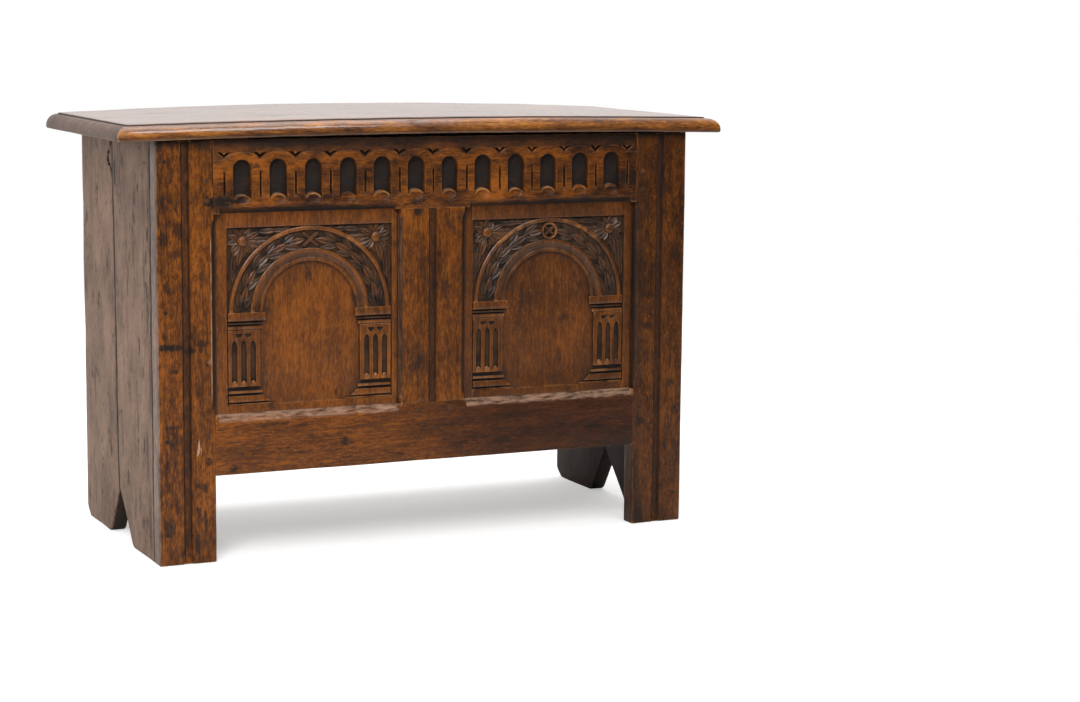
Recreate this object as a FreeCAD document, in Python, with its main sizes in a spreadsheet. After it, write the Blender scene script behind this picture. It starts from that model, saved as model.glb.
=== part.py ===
import FreeCAD, Part
import math
import os
import re
from collections import namedtuple

import Sketcher
from FreeCAD import Rotation, Vector

# An oak coffer chest in the early manner. A joined front, made of two stiles, two rails and a
# muntin that hold two panels, is nailed to boarded ends. Each end is two upright boards whose feet
# meet in a V-shaped cut. The bottom boards lie in housings in the ends and on two ledgers, and the
# back boards lie in rebates. A bowed lid of two boards swings on two iron strap hinges.
#
# X runs along the front to the right, Y from the front to the back, and Z up from the floor. The
# origin is on the floor at the middle of the whole chest's box, and every number is in millimetres.

SIZES = {
    # the carcase
    "body_width": 840,
    "body_depth": 396,
    "body_height": 607,
    "rail_clearance": 126,
    "frame_thickness": 28,
    "stile_width": 84,
    "muntin_width": 101,
    "top_rail_height": 105,
    "bottom_rail_height": 87,
    "end_thickness": 24,
    "back_thickness": 16,
    "bottom_thickness": 15,
    # the V cut between the two boards of an end, measured from the chest's front
    "front_foot_depth": 142,
    "rear_foot_start": 262,
    "notch_setback": 211,
    "notch_height": 77,
    "end_joint_setback": 224,
    # joints between the pieces
    "joint_clearance": 0.1,
    "socket_slack": 1,
    "tenon_thickness": 9,
    "tenon_length": 55,
    "tenon_shoulder": 9,
    "muntin_tenon_length": 38,
    "muntin_shoulder": 12,
    "panel_recess": 12,
    "panel_thickness": 13,
    "panel_slack": 0.5,
    "tongue_thickness": 7,
    "tongue_length": 8,
    "groove_depth": 9,
    "rebate_depth": 12,
    "housing_depth": 8,
    "ledger_height": 16,
    "ledger_depth": 22,
    # scratched channels and worked edges of the front
    "channel_setback": 36,
    "channel_width": 13,
    "channel_depth": 2,
    "edge_bevel": 5,
    "top_bevel_height": 9.5,
    "bottom_bevel_height": 12,
    "bevel_stop": 14,
    # the arcade of the top rail
    "arcade_margin": 16.8,
    "niche_half_width": 13.5,
    "niche_foot": 19,
    "niche_spring_drop": 41,
    "niche_depth": 9,
    "slot_width": 3,
    "slot_drop": 42,
    "slot_depth": 3,
    "nick_half_width": 9,
    "nick_drop": 16,
    "nick_point_drop": 23,
    # the carving of a panel, measured from its opening and from one band of the arch to the next
    "carving_shift_left": 6.1,
    "carving_shift_right": 2.1,
    "carving_border": 16.25,
    "carving_head": 21,
    "arch_margin": 3.5,
    "crown_margin": 0.5,
    "outer_roll": 6.5,
    "band_width": 26,
    "inner_roll": 13.5,
    "field_step": 5.5,
    "field_foot": 11,
    "ground_depth": 4,
    "band_depth": 3,
    "field_depth": 5,
    "boss_radius": 8,
    "boss_out": 0.83,
    "boss_up": 0.84,
    "flute_inset": 14.7,
    "flute_pitch": 14.3,
    "flute_half_width": 3.6,
    "flute_foot": 0.322,
    "flute_head": 0.716,
    "flute_depth": 4,
    # the lid
    "lid_thickness": 22.5,
    "lid_side_overhang": 55,
    "lid_front_overhang": 10,
    "lid_gap": 0.3,
    "lid_front_board": 214,
    "lid_bow_front": 5.5,
    "lid_bow_rear": 11,
    "moulding_width": 19,
    "moulding_step": 1.8,
    "ovolo_radius": 15.7,
    "nose_radius": 3,
    "cut_allowance": 6,
    # the hinges
    "hinge_spacing": 540,
    "leaf_width": 34,
    "leaf_thickness": 2.5,
    "lid_leaf_length": 78,
    "back_leaf_length": 62,
    "knuckle_radius": 5,
    "knuckle_gap": 0.3,
    "pin_radius": 2.5,
    "pin_fit": 0.06,
    "pin_head": 1.5,
    "pin_head_radius": 3.8,
    # pegs, dowels and nails
    "peg_radius": 3.6,
    "peg_tip_radius": 3.3,
    "peg_proud": 0.8,
    "peg_setback": 10,
    "dowel_radius": 4.5,
    "dowel_length": 48,
    "nail_radius": 1.6,
    "nail_tip_radius": 0.8,
    "nail_head_radius": 3.4,
    "nail_crown_radius": 1.6,
    "nail_head_height": 1.2,
    "long_nail": 52,
    "short_nail": 30,
    "board_nail": 26,
    "clout_nail": 14,
}

NICHES = 12
BACK_BOARDS = ("lower", "middle", "upper")
BOTTOM_BOARDS = ("front", "middle", "rear")
SIDES = {"left": -1, "right": 1}
FLUTES = 3
# heights above the rail's lower edge where the pegs cross its tenon
TOP_RAIL_PEGS = (19, 47)
BOTTOM_RAIL_PEGS = (24, 57)
# places as shares: of half the muntin's tenon, of the body's height, of the joint over the V cut
MUNTIN_PEG_SHARES = (-0.57, 0.73)
STILE_NAIL_SHARES = (0.074, 0.2965, 0.6013, 0.9522)
END_DOWEL_SHARES = (0.213, 0.506, 0.798)
LID_DOWEL_SHARES = (-0.36, -0.13, 0.13, 0.36)
LID_STATIONS = (-1, -0.5, 0, 0.5, 1)
BACK_NAIL_SHARES = (0.25, 0.75)
BOTTOM_NAIL_SHARES = (-0.42, -0.15, 0.15, 0.42)
LEDGER_NAIL_SHARES = (-0.38, 0, 0.38)
LEAF_NAIL_SHARES = (0.35, 0.62, 0.88)

doc = FreeCAD.newDocument("coffer_chest")
sheet = doc.addObject("Spreadsheet::Sheet", "sizes")
for row, (alias, number) in enumerate(SIZES.items(), start=1):
    sheet.set(f"A{row}", alias)
    sheet.set(f"B{row}", str(number))
    sheet.setAlias(f"B{row}", alias)
doc.recompute()

# lines that several pieces share, written in the sheet's own names
front = "(lid_front_overhang - body_depth - 2 * knuckle_radius - lid_gap) / 2"
back = f"({front} + body_depth)"
frame_back = f"({front} + frame_thickness)"
groove_front = f"({front} + panel_recess)"
back_inside = f"({back} - back_thickness)"
half_width = "(body_width / 2)"
inner_half = "(body_width / 2 - stile_width)"
inside_half = "(body_width / 2 - end_thickness)"
top_rail_low = "(body_height - top_rail_height)"
bottom_rail_high = "(rail_clearance + bottom_rail_height)"
floor_level = "(rail_clearance + ledger_height)"
notch = f"({front} + notch_setback)"
end_joint = f"({front} + end_joint_setback)"
lid_front = f"({front} - lid_front_overhang)"
lid_depth = "(lid_front_overhang + body_depth)"
lid_half = "(body_width / 2 + lid_side_overhang)"
lid_joint = f"({lid_front} + lid_front_board)"
underside = "(body_height + lid_gap)"
hinge_x = "(hinge_spacing / 2)"
axis_y = f"({back} + knuckle_radius + lid_gap)"
niche_pitch = f"((2 * {inner_half} - 2 * arcade_margin) / {NICHES})"
muntin_tenon_half = "(muntin_width / 2 - muntin_shoulder)"
carving_half = f"(({inner_half} - muntin_width / 2) / 2 - carving_border)"
arch_outer = f"({carving_half} - arch_margin)"
band_outer = f"({arch_outer} - outer_roll)"
band_inner = f"({band_outer} - band_width)"
step_radius = f"({band_inner} - inner_roll)"
field_radius = f"({step_radius} - field_step)"

Corner = namedtuple("Corner", "u v radius side half", defaults=(None, 1, False))

PLANE_NORMALS = {"XY_Plane": 1, "XZ_Plane": -1, "YZ_Plane": 1}
pieces = {}


def bound(text):
    """The expression with each size's name pointed at its cell."""
    return re.sub(r"[a-z][a-z_]*", lambda found: f"sizes.{found.group()}", str(text))


def value(text):
    """What the expression comes to now."""
    return float(sheet.evalExpression(bound(text)))


def times(side, text):
    """The expression on the left or the right of the chest's middle."""
    return f"({side}) * ({text})"


# ---- sketches -----------------------------------------------------------------------------------


def hold(sketch, geometry, end, u=None, v=None):
    """Ties a point of the sketch to expressions for its distances from the sketch's origin."""
    for kind, text in (("DistanceX", u), ("DistanceY", v)):
        if text is not None:
            tie = Sketcher.Constraint(kind, -1, 1, geometry, end, value(text))
            index = sketch.addConstraint(tie)
            sketch.setExpression(f"Constraints[{index}]", bound(text))


def hold_radius(sketch, geometry, radius):
    index = sketch.addConstraint(Sketcher.Constraint("Radius", geometry, value(radius)))
    sketch.setExpression(f"Constraints[{index}]", bound(radius))


def edge_between(start, corner):
    """A line, or the arc that the corner asks for, from the corner before it."""
    p = Vector(value(start.u), value(start.v), 0)
    q = Vector(value(corner.u), value(corner.v), 0)
    if corner.radius is None:
        return Part.LineSegment(p, q), (1, 2)
    radius = value(corner.radius)
    half_chord = (q - p).Length / 2
    bulge = Vector(q.y - p.y, p.x - q.x, 0).normalize() * corner.side
    centre = (p + q) / 2 - bulge * math.sqrt(max(radius**2 - half_chord**2, 0))
    start_angle, end_angle = (math.atan2(w.y - centre.y, w.x - centre.x) for w in (p, q))
    ends = (1, 2)
    if (p - centre).cross(bulge).z < 0:
        start_angle, end_angle = end_angle, start_angle
        ends = (2, 1)
    if end_angle < start_angle:
        end_angle += 2 * math.pi
    ring = Part.Circle(centre, Vector(0, 0, 1), radius)
    return Part.ArcOfCircle(ring, start_angle, end_angle), ends


def outline(*corners):
    """A closed outline through the corners."""
    corners = [corner if isinstance(corner, Corner) else Corner(*corner) for corner in corners]

    def draw(sketch):
        drawn = []
        for start, corner in zip(corners[-1:] + corners[:-1], corners):
            geometry, ends = edge_between(start, corner)
            drawn.append((sketch.addGeometry(geometry, False), ends))
        for position, corner in enumerate(corners):
            arriving, ends = drawn[position]
            after = (position + 1) % len(corners)
            leaving, leaving_ends = drawn[after]
            meet = Sketcher.Constraint("Coincident", arriving, ends[1], leaving, leaving_ends[0])
            sketch.addConstraint(meet)
            hold(sketch, arriving, ends[1], corner.u, corner.v)
            if corner.half:
                hold(sketch, arriving, 3, v=corner.v)
            elif corner.radius is not None:
                hold_radius(sketch, arriving, corner.radius)

    return draw


def rectangle(left, right, low, high):
    return outline((left, low), (right, low), (right, high), (left, high))


def arched(middle, radius, foot, spring):
    """A round-headed opening."""
    return outline(
        (f"{middle} - ({radius})", foot),
        (f"{middle} + ({radius})", foot),
        (f"{middle} + ({radius})", spring),
        Corner(f"{middle} - ({radius})", spring, radius, 1, True),
    )


def slot(middle, radius, foot, head):
    """An upright slot with round ends."""
    return outline(
        Corner(f"{middle} + ({radius})", foot, radius, 1, True),
        (f"{middle} + ({radius})", head),
        Corner(f"{middle} - ({radius})", head, radius, 1, True),
        (f"{middle} - ({radius})", foot),
    )


def half_ring(middle, outer, inner, spring):
    return outline(
        (f"{middle} + {outer}", spring),
        Corner(f"{middle} - {outer}", spring, outer, 1, True),
        (f"{middle} - {inner}", spring),
        Corner(f"{middle} + {inner}", spring, inner, -1, True),
    )


def circle(u, v, radius):
    def draw(sketch):
        centre = Vector(value(u), value(v), 0)
        index = sketch.addGeometry(Part.Circle(centre, Vector(0, 0, 1), value(radius)), False)
        hold(sketch, index, 3, u, v)
        hold_radius(sketch, index, radius)

    return draw


def sketched(body, name, plane, place, loops):
    """A sketch square to an axis of the chest, at that place along it."""
    sketch = body.newObject("Sketcher::SketchObject", f"{body.Name}_{name}")
    support = next(f for f in body.Origin.OriginFeatures if f.Role == plane)
    sketch.AttachmentSupport = (support, [""])
    sketch.MapMode = "FlatFace"
    offset = place if PLANE_NORMALS[plane] > 0 else f"-({place})"
    sketch.setExpression("AttachmentOffset.Base.z", bound(offset))
    for loop in loops:
        loop(sketch)
    return sketch


def worked(kind, body, name, plane, place, towards, length, *loops):
    """Pads or pockets the loops from that place, towards the positive or negative axis."""
    sketch = sketched(body, name, plane, place, loops)
    feature = body.newObject(f"PartDesign::{kind}", f"{sketch.Name}_{kind.lower()}")
    feature.Profile = sketch
    feature.setExpression("Length", bound(length))
    along_normal = towards == PLANE_NORMALS[plane]
    feature.Reversed = along_normal if kind == "Pocket" else not along_normal
    return feature


def repeated(body, feature, pitch, count):
    """Repeats a worked feature along the chest's length."""
    pattern = body.newObject("PartDesign::LinearPattern", f"{feature.Name}_row")
    pattern.Originals = [feature]
    pattern.Direction = (feature.Profile[0], ["H_Axis"])
    pattern.setExpression("Length", bound(f"{pitch} * {count - 1}"))
    pattern.Occurrences = count
    body.Tip = pattern
    return pattern


def new_body(name):
    return doc.addObject("PartDesign::Body", f"{name}_blank")


# ---- primitives, fasteners and the finished pieces ----------------------------------------------


def placed(thing, x, y, z, turn=None):
    for axis, text in zip("xyz", (x, y, z)):
        thing.setExpression(f"Placement.Base.{axis}", bound(text))
    if turn is not None:
        thing.Placement.Rotation = turn
    return thing


def board(name, x, y, z, length, depth, height):
    box = doc.addObject("Part::Box", name)
    for side, text in (("Length", length), ("Width", depth), ("Height", height)):
        box.setExpression(side, bound(text))
    return placed(box, x, y, z)


def cone(name, x, y, z, turn, low_radius, high_radius, length):
    made = doc.addObject("Part::Cone", name)
    for side, text in (("Radius1", low_radius), ("Radius2", high_radius), ("Height", length)):
        made.setExpression(side, bound(text))
    return placed(made, x, y, z, turn)


def rod(name, x, y, z, turn, radius, length):
    made = doc.addObject("Part::Cylinder", name)
    made.setExpression("Radius", bound(radius))
    made.setExpression("Height", bound(length))
    return placed(made, x, y, z, turn)


TURNS = {
    "+z": Rotation(),
    "-z": Rotation(Vector(1, 0, 0), 180),
    "+y": Rotation(Vector(1, 0, 0), -90),
    "-y": Rotation(Vector(1, 0, 0), 90),
    "+x": Rotation(Vector(0, 1, 0), 90),
}
BACKWARDS = {"+z": "-z", "-z": "+z", "+y": "-y", "-y": "+y"}


def fused(name, *shapes):
    made = doc.addObject("Part::MultiFuse", name)
    made.Shapes = list(shapes)
    return made


def nail(name, x, y, z, driven, length):
    """A hand-made nail whose head lies on the point and whose shank goes the way it is driven."""
    shank = cone(
        f"{name}_shank", x, y, z, TURNS[driven], "nail_radius", "nail_tip_radius", length
    )
    head = cone(
        f"{name}_head",
        x,
        y,
        z,
        TURNS[BACKWARDS[driven]],
        "nail_head_radius",
        "nail_crown_radius",
        "nail_head_height",
    )
    return fused(name, shank, head)


def peg(name, x, z):
    """A tapered oak peg driven through the frame from the front."""
    start = f"{front} - peg_proud"
    length = "frame_thickness + peg_proud"
    return cone(name, x, start, z, TURNS["+y"], "peg_radius", "peg_tip_radius", length)


def group(label, members):
    """Like fasteners that share one node."""
    made = doc.addObject("Part::Compound", label)
    made.Links = members
    pieces[label] = made
    return made


def piece(label, blank, fasteners=()):
    """The finished piece: its blank, bored for the fasteners that cross it."""
    if not fasteners:
        pieces[label] = blank
        blank.Label = label
        return blank
    bores = fasteners[0]
    if len(fasteners) > 1:
        bores = doc.addObject("Part::Compound", f"{label}_bores")
        bores.Links = list(fasteners)
    bored = doc.addObject("Part::Cut", label)
    bored.Base = blank
    bored.Tool = bores
    pieces[label] = bored
    return bored


# ---- fasteners ----------------------------------------------------------------------------------


def frame_pegs():
    """Two pegs hold each tenon of the rails and of the muntin."""
    groups = {}
    for word, side in SIDES.items():
        x = times(side, f"{inner_half} + peg_setback")
        heights = [f"{top_rail_low} + {height}" for height in TOP_RAIL_PEGS]
        heights += [f"rail_clearance + {height}" for height in BOTTOM_RAIL_PEGS]
        pegs = [peg(f"peg_{word}_{number}", x, z) for number, z in enumerate(heights)]
        groups[word] = group(f"pegs_{word}", pegs)
    levels = (f"{top_rail_low} + peg_setback", f"{bottom_rail_high} - peg_setback")
    places = [(f"{share} * {muntin_tenon_half}", z) for z in levels for share in MUNTIN_PEG_SHARES]
    pegs = [peg(f"peg_muntin_{number}", x, z) for number, (x, z) in enumerate(places)]
    groups["muntin"] = group("pegs_muntin", pegs)
    return groups


def stile_nails(word, side):
    """Nails through the stile into the front edge of the end board behind it."""
    x = times(side, f"{half_width} - end_thickness / 2")
    nails = [
        nail(f"nail_{word}_{number}", x, front, f"{share} * body_height", "+y", "long_nail")
        for number, share in enumerate(STILE_NAIL_SHARES)
    ]
    return group(f"nails_stile_{word}", nails)


def end_dowels(word, side):
    """Dowels across the joint between the two boards of an end."""
    x = times(side, f"{half_width} - end_thickness / 2")
    dowels = []
    for number, share in enumerate(END_DOWEL_SHARES):
        y = f"{notch} + {share} * ({end_joint} - {notch}) - dowel_length / 2"
        z = f"notch_height + {share} * (body_height - notch_height)"
        name = f"dowel_{word}_{number}"
        dowels.append(rod(name, x, y, z, TURNS["+y"], "dowel_radius", "dowel_length"))
    return group(f"dowels_end_{word}", dowels)


def back_nails():
    """Nails through the back boards into the rebated edges of the ends."""
    nails = []
    board_height = f"(body_height - rail_clearance) / {len(BACK_BOARDS)}"
    for word, side in SIDES.items():
        x = times(side, f"{inside_half} + rebate_depth / 2")
        for row, _ in enumerate(BACK_BOARDS):
            for share in BACK_NAIL_SHARES:
                z = f"rail_clearance + ({row} + {share}) * {board_height}"
                name = f"nail_back_{word}_{row}_{int(100 * share)}"
                nails.append(nail(name, x, back, z, "-y", "short_nail"))
    return group("nails_back", nails)


def bottom_nails():
    """Nails through the front and rear bottom boards into the ledgers under them."""
    nails = []
    rows = (f"{frame_back} + ledger_depth / 2", f"{back_inside} - ledger_depth / 2")
    for row, y in enumerate(rows):
        for number, share in enumerate(BOTTOM_NAIL_SHARES):
            z = f"{floor_level} + bottom_thickness"
            name = f"nail_bottom_{row}_{number}"
            nails.append(nail(name, f"{share} * body_width", y, z, "-z", "board_nail"))
    return group("nails_bottom", nails)


def ledger_nails():
    """Nails through the ledgers into the bottom rail and the lowest back board."""
    nails = []
    z = "rail_clearance + ledger_height / 2"
    for number, share in enumerate(LEDGER_NAIL_SHARES):
        x = f"{share} * body_width"
        inner_face = f"{frame_back} + ledger_depth"
        nails.append(nail(f"nail_ledger_front_{number}", x, inner_face, z, "-y", "short_nail"))
        inner_face = f"{back_inside} - ledger_depth"
        nails.append(nail(f"nail_ledger_rear_{number}", x, inner_face, z, "+y", "short_nail"))
    return group("nails_ledgers", nails)


# ---- the joined front ---------------------------------------------------------------------------


def stile(word, side, pegs, nails):
    body = new_body(f"stile_{word}")
    outer, inner = times(side, half_width), times(side, inner_half)
    full = rectangle(outer, inner, "0", "body_height")
    worked("Pad", body, "outline", "XZ_Plane", front, 1, "frame_thickness", full)
    channel = rectangle(
        times(side, f"{half_width} - channel_setback"),
        times(side, f"{half_width} - channel_setback - channel_width"),
        "0",
        "body_height",
    )
    worked("Pocket", body, "channel", "XZ_Plane", front, 1, "channel_depth", channel)
    mortise_end = times(side, f"{inner_half} + tenon_length + socket_slack")
    mortises = [
        rectangle(
            inner,
            mortise_end,
            f"{low} + tenon_shoulder - joint_clearance",
            f"{high} - tenon_shoulder + joint_clearance",
        )
        for low, high in ((top_rail_low, "body_height"), ("rail_clearance", bottom_rail_high))
    ]
    mortise_front = f"{groove_front} - joint_clearance"
    thickness = "tenon_thickness + 2 * joint_clearance"
    worked("Pocket", body, "mortises", "XZ_Plane", mortise_front, 1, thickness, *mortises)
    groove = rectangle(
        inner,
        times(side, f"{inner_half} + groove_depth"),
        f"{bottom_rail_high} - groove_depth",
        f"{top_rail_low} + groove_depth",
    )
    thickness = "tongue_thickness + joint_clearance"
    worked("Pocket", body, "groove", "XZ_Plane", groove_front, 1, thickness, groove)
    bevel_edge(body, "bevel", inner, side)
    return piece(f"stile_{word}", body, (pegs, nails))


def bevel_edge(body, name, edge, side):
    """A bevel on an upright edge beside a panel, stopped short of both rails."""
    corner = outline(
        (edge, front), (f"{edge} + ({side}) * edge_bevel", front), (edge, f"{front} + edge_bevel")
    )
    start = f"{bottom_rail_high} + bevel_stop"
    length = f"{top_rail_low} - {bottom_rail_high} - 2 * bevel_stop"
    return worked("Pocket", body, name, "XY_Plane", start, 1, length, corner)


def rail_blank(name, low, high, panel_edge, inwards):
    """A rail with its end tenons, the panels' groove and the muntin's mortise."""
    body = new_body(name)
    full = rectangle(f"-{inner_half}", inner_half, low, high)
    worked("Pad", body, "outline", "XZ_Plane", front, 1, "frame_thickness", full)
    reach = f"({inner_half} + tenon_length)"
    tenons = rectangle(f"-{reach}", reach, f"{low} + tenon_shoulder", f"{high} - tenon_shoulder")
    worked("Pad", body, "tenons", "XZ_Plane", groove_front, 1, "tenon_thickness", tenons)
    groove_end = f"{panel_edge} + ({inwards}) * groove_depth"
    groove = rectangle(f"-{inner_half}", inner_half, panel_edge, groove_end)
    thickness = "tongue_thickness + joint_clearance"
    worked("Pocket", body, "groove", "XZ_Plane", groove_front, 1, thickness, groove)
    half = f"({muntin_tenon_half} + joint_clearance)"
    depth = f"{panel_edge} + ({inwards}) * (muntin_tenon_length + socket_slack)"
    mortise = rectangle(f"-{half}", half, panel_edge, depth)
    thickness = "tenon_thickness + 2 * joint_clearance"
    start = f"{groove_front} - joint_clearance"
    worked("Pocket", body, "mortise", "XZ_Plane", start, 1, thickness, mortise)
    return body


def bevel_rail(body, panel_edge, inwards, height):
    """A sloping ledge over or under each panel, stopped short of the uprights."""
    for word, side in SIDES.items():
        corner = outline(
            (front, panel_edge),
            (f"{front} + panel_recess", panel_edge),
            (front, f"{panel_edge} + ({inwards}) * {height}"),
        )
        start = times(side, "muntin_width / 2 + bevel_stop")
        length = f"{inner_half} - muntin_width / 2 - 2 * bevel_stop"
        worked("Pocket", body, f"ledge_{word}", "YZ_Plane", start, side, length, corner)


def top_rail(pegs):
    body = rail_blank("top_rail", top_rail_low, "body_height", top_rail_low, 1)
    bevel_rail(body, top_rail_low, 1, "top_bevel_height")
    start = f"(-{(NICHES - 1) / 2} * {niche_pitch})"
    niche = arched(
        start,
        "niche_half_width",
        f"{top_rail_low} + niche_foot",
        "body_height - niche_spring_drop",
    )
    cut = worked("Pocket", body, "niche", "XZ_Plane", front, 1, "niche_depth", niche)
    repeated(body, cut, niche_pitch, NICHES)
    start = f"(-{NICHES / 2} * {niche_pitch})"
    upright = rectangle(
        f"{start} - slot_width / 2",
        f"{start} + slot_width / 2",
        f"{top_rail_low} + niche_foot",
        "body_height - slot_drop",
    )
    cut = worked("Pocket", body, "slot", "XZ_Plane", front, 1, "slot_depth", upright)
    repeated(body, cut, niche_pitch, NICHES + 1)
    start = f"(-{NICHES / 2 - 1} * {niche_pitch})"
    nick = outline(
        (f"{start} - nick_half_width", "body_height - nick_drop"),
        (start, "body_height - nick_point_drop"),
        (f"{start} + nick_half_width", "body_height - nick_drop"),
    )
    cut = worked("Pocket", body, "nick", "XZ_Plane", front, 1, "slot_depth", nick)
    repeated(body, cut, niche_pitch, NICHES - 1)
    return piece("top_rail", body, pegs)


def bottom_rail(pegs, nails):
    low, high = "rail_clearance", bottom_rail_high
    body = rail_blank("bottom_rail", low, high, high, -1)
    bevel_rail(body, high, -1, "bottom_bevel_height")
    return piece("bottom_rail", body, (*pegs, nails))


def muntin(pegs):
    body = new_body("muntin")
    half = "(muntin_width / 2)"
    full = rectangle(f"-{half}", half, bottom_rail_high, top_rail_low)
    worked("Pad", body, "outline", "XZ_Plane", front, 1, "frame_thickness", full)
    tenons = rectangle(
        f"-{muntin_tenon_half}",
        muntin_tenon_half,
        f"{bottom_rail_high} - muntin_tenon_length",
        f"{top_rail_low} + muntin_tenon_length",
    )
    worked("Pad", body, "tenons", "XZ_Plane", groove_front, 1, "tenon_thickness", tenons)
    grooves = [
        rectangle(
            times(side, half),
            times(side, f"{half} - groove_depth"),
            bottom_rail_high,
            top_rail_low,
        )
        for side in SIDES.values()
    ]
    thickness = "tongue_thickness + joint_clearance"
    worked("Pocket", body, "grooves", "XZ_Plane", groove_front, 1, thickness, *grooves)
    channel = rectangle(
        "-channel_width / 2", "channel_width / 2", bottom_rail_high, top_rail_low
    )
    worked("Pocket", body, "channel", "XZ_Plane", front, 1, "channel_depth", channel)
    for word, side in SIDES.items():
        bevel_edge(body, f"bevel_{word}", times(side, half), -side)
    return piece("muntin", body, (pegs,))


def panel(word, side):
    """A carved panel: an arch on fluted pilasters, with a round boss in each corner above it."""
    body = new_body(f"panel_{word}")
    near, far = times(side, "muntin_width / 2"), times(side, inner_half)
    low, high = bottom_rail_high, top_rail_low
    tongues = rectangle(
        f"{near} - ({side}) * tongue_length",
        f"{far} + ({side}) * tongue_length",
        f"{low} - tongue_length",
        f"{high} + tongue_length",
    )
    worked("Pad", body, "tongues", "XZ_Plane", groove_front, 1, "tongue_thickness", tongues)
    middle_block = rectangle(
        f"{near} + ({side}) * panel_slack",
        f"{far} - ({side}) * panel_slack",
        f"{low} + panel_slack",
        f"{high} - panel_slack",
    )
    worked("Pad", body, "middle", "XZ_Plane", groove_front, 1, "panel_thickness", middle_block)
    centre = f"(({near} + {far}) / 2 + carving_shift_{word})"
    crown = f"({high} - carving_head)"
    spring = f"({crown} - crown_margin - {arch_outer})"
    ground = outline(
        (f"{centre} + {carving_half}", spring),
        (f"{centre} + {carving_half}", crown),
        (f"{centre} - {carving_half}", crown),
        (f"{centre} - {carving_half}", spring),
        (f"{centre} - {arch_outer}", spring),
        Corner(f"{centre} + {arch_outer}", spring, arch_outer, -1, True),
    )
    bosses = [
        circle(
            f"{centre} + ({sign}) * boss_out * {arch_outer}",
            f"{spring} + boss_up * {arch_outer}",
            "boss_radius",
        )
        for sign in SIDES.values()
    ]
    worked("Pocket", body, "ground", "XZ_Plane", groove_front, 1, "ground_depth", ground, *bosses)
    band = half_ring(centre, band_outer, band_inner, spring)
    worked("Pocket", body, "band", "XZ_Plane", groove_front, 1, "band_depth", band)
    step = arched(centre, step_radius, f"{low} + field_foot", spring)
    worked("Pocket", body, "step", "XZ_Plane", groove_front, 1, "band_depth", step)
    field = arched(centre, field_radius, f"{low} + field_foot", spring)
    worked("Pocket", body, "field", "XZ_Plane", groove_front, 1, "field_depth", field)
    flutes = [
        slot(
            f"({centre} + ({sign}) * ({field_radius} + flute_inset + {number} * flute_pitch))",
            "flute_half_width",
            f"{low} + flute_foot * ({spring} - {low})",
            f"{low} + flute_head * ({spring} - {low})",
        )
        for sign in SIDES.values()
        for number in range(FLUTES)
    ]
    worked("Pocket", body, "flutes", "XZ_Plane", groove_front, 1, "flute_depth", *flutes)
    return piece(f"panel_{word}", body)


# ---- ends, back and bottom ----------------------------------------------------------------------


def end_board(word, side, where, corners, fasteners):
    """One upright board of an end, housed for the bottom boards on its inner face."""
    name = f"end_{word}_{where}"
    body = new_body(name)
    outer = times(side, half_width)
    worked("Pad", body, "outline", "YZ_Plane", outer, -side, "end_thickness", outline(*corners))
    inner = times(side, inside_half)
    housing = rectangle(
        frame_back,
        back_inside,
        f"{floor_level} - joint_clearance",
        f"{floor_level} + bottom_thickness + joint_clearance",
    )
    worked("Pocket", body, "housing", "YZ_Plane", inner, side, "housing_depth", housing)
    if where == "rear":
        rebate = rectangle(back_inside, back, "rail_clearance", "body_height")
        worked("Pocket", body, "rebate", "YZ_Plane", inner, side, "rebate_depth", rebate)
    return piece(name, body, fasteners)


def end_boards(word, side, stile_nail_group, back_nail_group):
    dowels = end_dowels(word, side)
    front_board = (
        (frame_back, "0"),
        (f"{front} + front_foot_depth", "0"),
        (notch, "notch_height"),
        (end_joint, "body_height"),
        (frame_back, "body_height"),
    )
    rear_board = (
        (f"{front} + rear_foot_start", "0"),
        (back, "0"),
        (back, "body_height"),
        (end_joint, "body_height"),
        (notch, "notch_height"),
    )
    end_board(word, side, "front", front_board, (dowels, stile_nail_group))
    end_board(word, side, "rear", rear_board, (dowels, back_nail_group))


def back_boards(fasteners):
    """Three level boards nailed in the ends' rebates."""
    half = f"({inside_half} + rebate_depth - joint_clearance)"
    height = f"(body_height - rail_clearance) / {len(BACK_BOARDS)}"
    for row, word in enumerate(BACK_BOARDS):
        blank = board(
            f"back_board_{word}_blank",
            f"-{half}",
            back_inside,
            f"rail_clearance + {row} * {height}",
            f"2 * {half}",
            "back_thickness",
            height,
        )
        piece(f"back_board_{word}", blank, fasteners)


def bottom_boards(fasteners):
    """Three long boards whose ends lie in the housings."""
    half = f"({inside_half} + housing_depth - joint_clearance)"
    depth = f"({back_inside} - {frame_back}) / {len(BOTTOM_BOARDS)}"
    for row, word in enumerate(BOTTOM_BOARDS):
        blank = board(
            f"bottom_board_{word}_blank",
            f"-{half}",
            f"{frame_back} + {row} * {depth}",
            floor_level,
            f"2 * {half}",
            depth,
            "bottom_thickness",
        )
        piece(f"bottom_board_{word}", blank, fasteners)


def ledgers(fasteners):
    """The strips under the bottom boards, behind the bottom rail and before the back."""
    half = f"({inside_half} - socket_slack)"
    for word, y in (("front", frame_back), ("rear", f"{back_inside} - ledger_depth")):
        size = (f"2 * {half}", "ledger_depth", "ledger_height")
        blank = board(f"ledger_{word}_blank", f"-{half}", y, "rail_clearance", *size)
        piece(f"ledger_{word}", blank, fasteners)


# ---- the lid and its hinges ---------------------------------------------------------------------


def bow(share, y):
    """How far the lid, at a share of its half length, is above its seat on the ends' outer edges."""
    spread = f"(lid_bow_rear - lid_bow_front) * ({y} - {lid_front}) / {lid_depth}"
    return f"(({half_width} / {lid_half})^2 - ({share})^2) * (lid_bow_front + {spread})"


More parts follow.
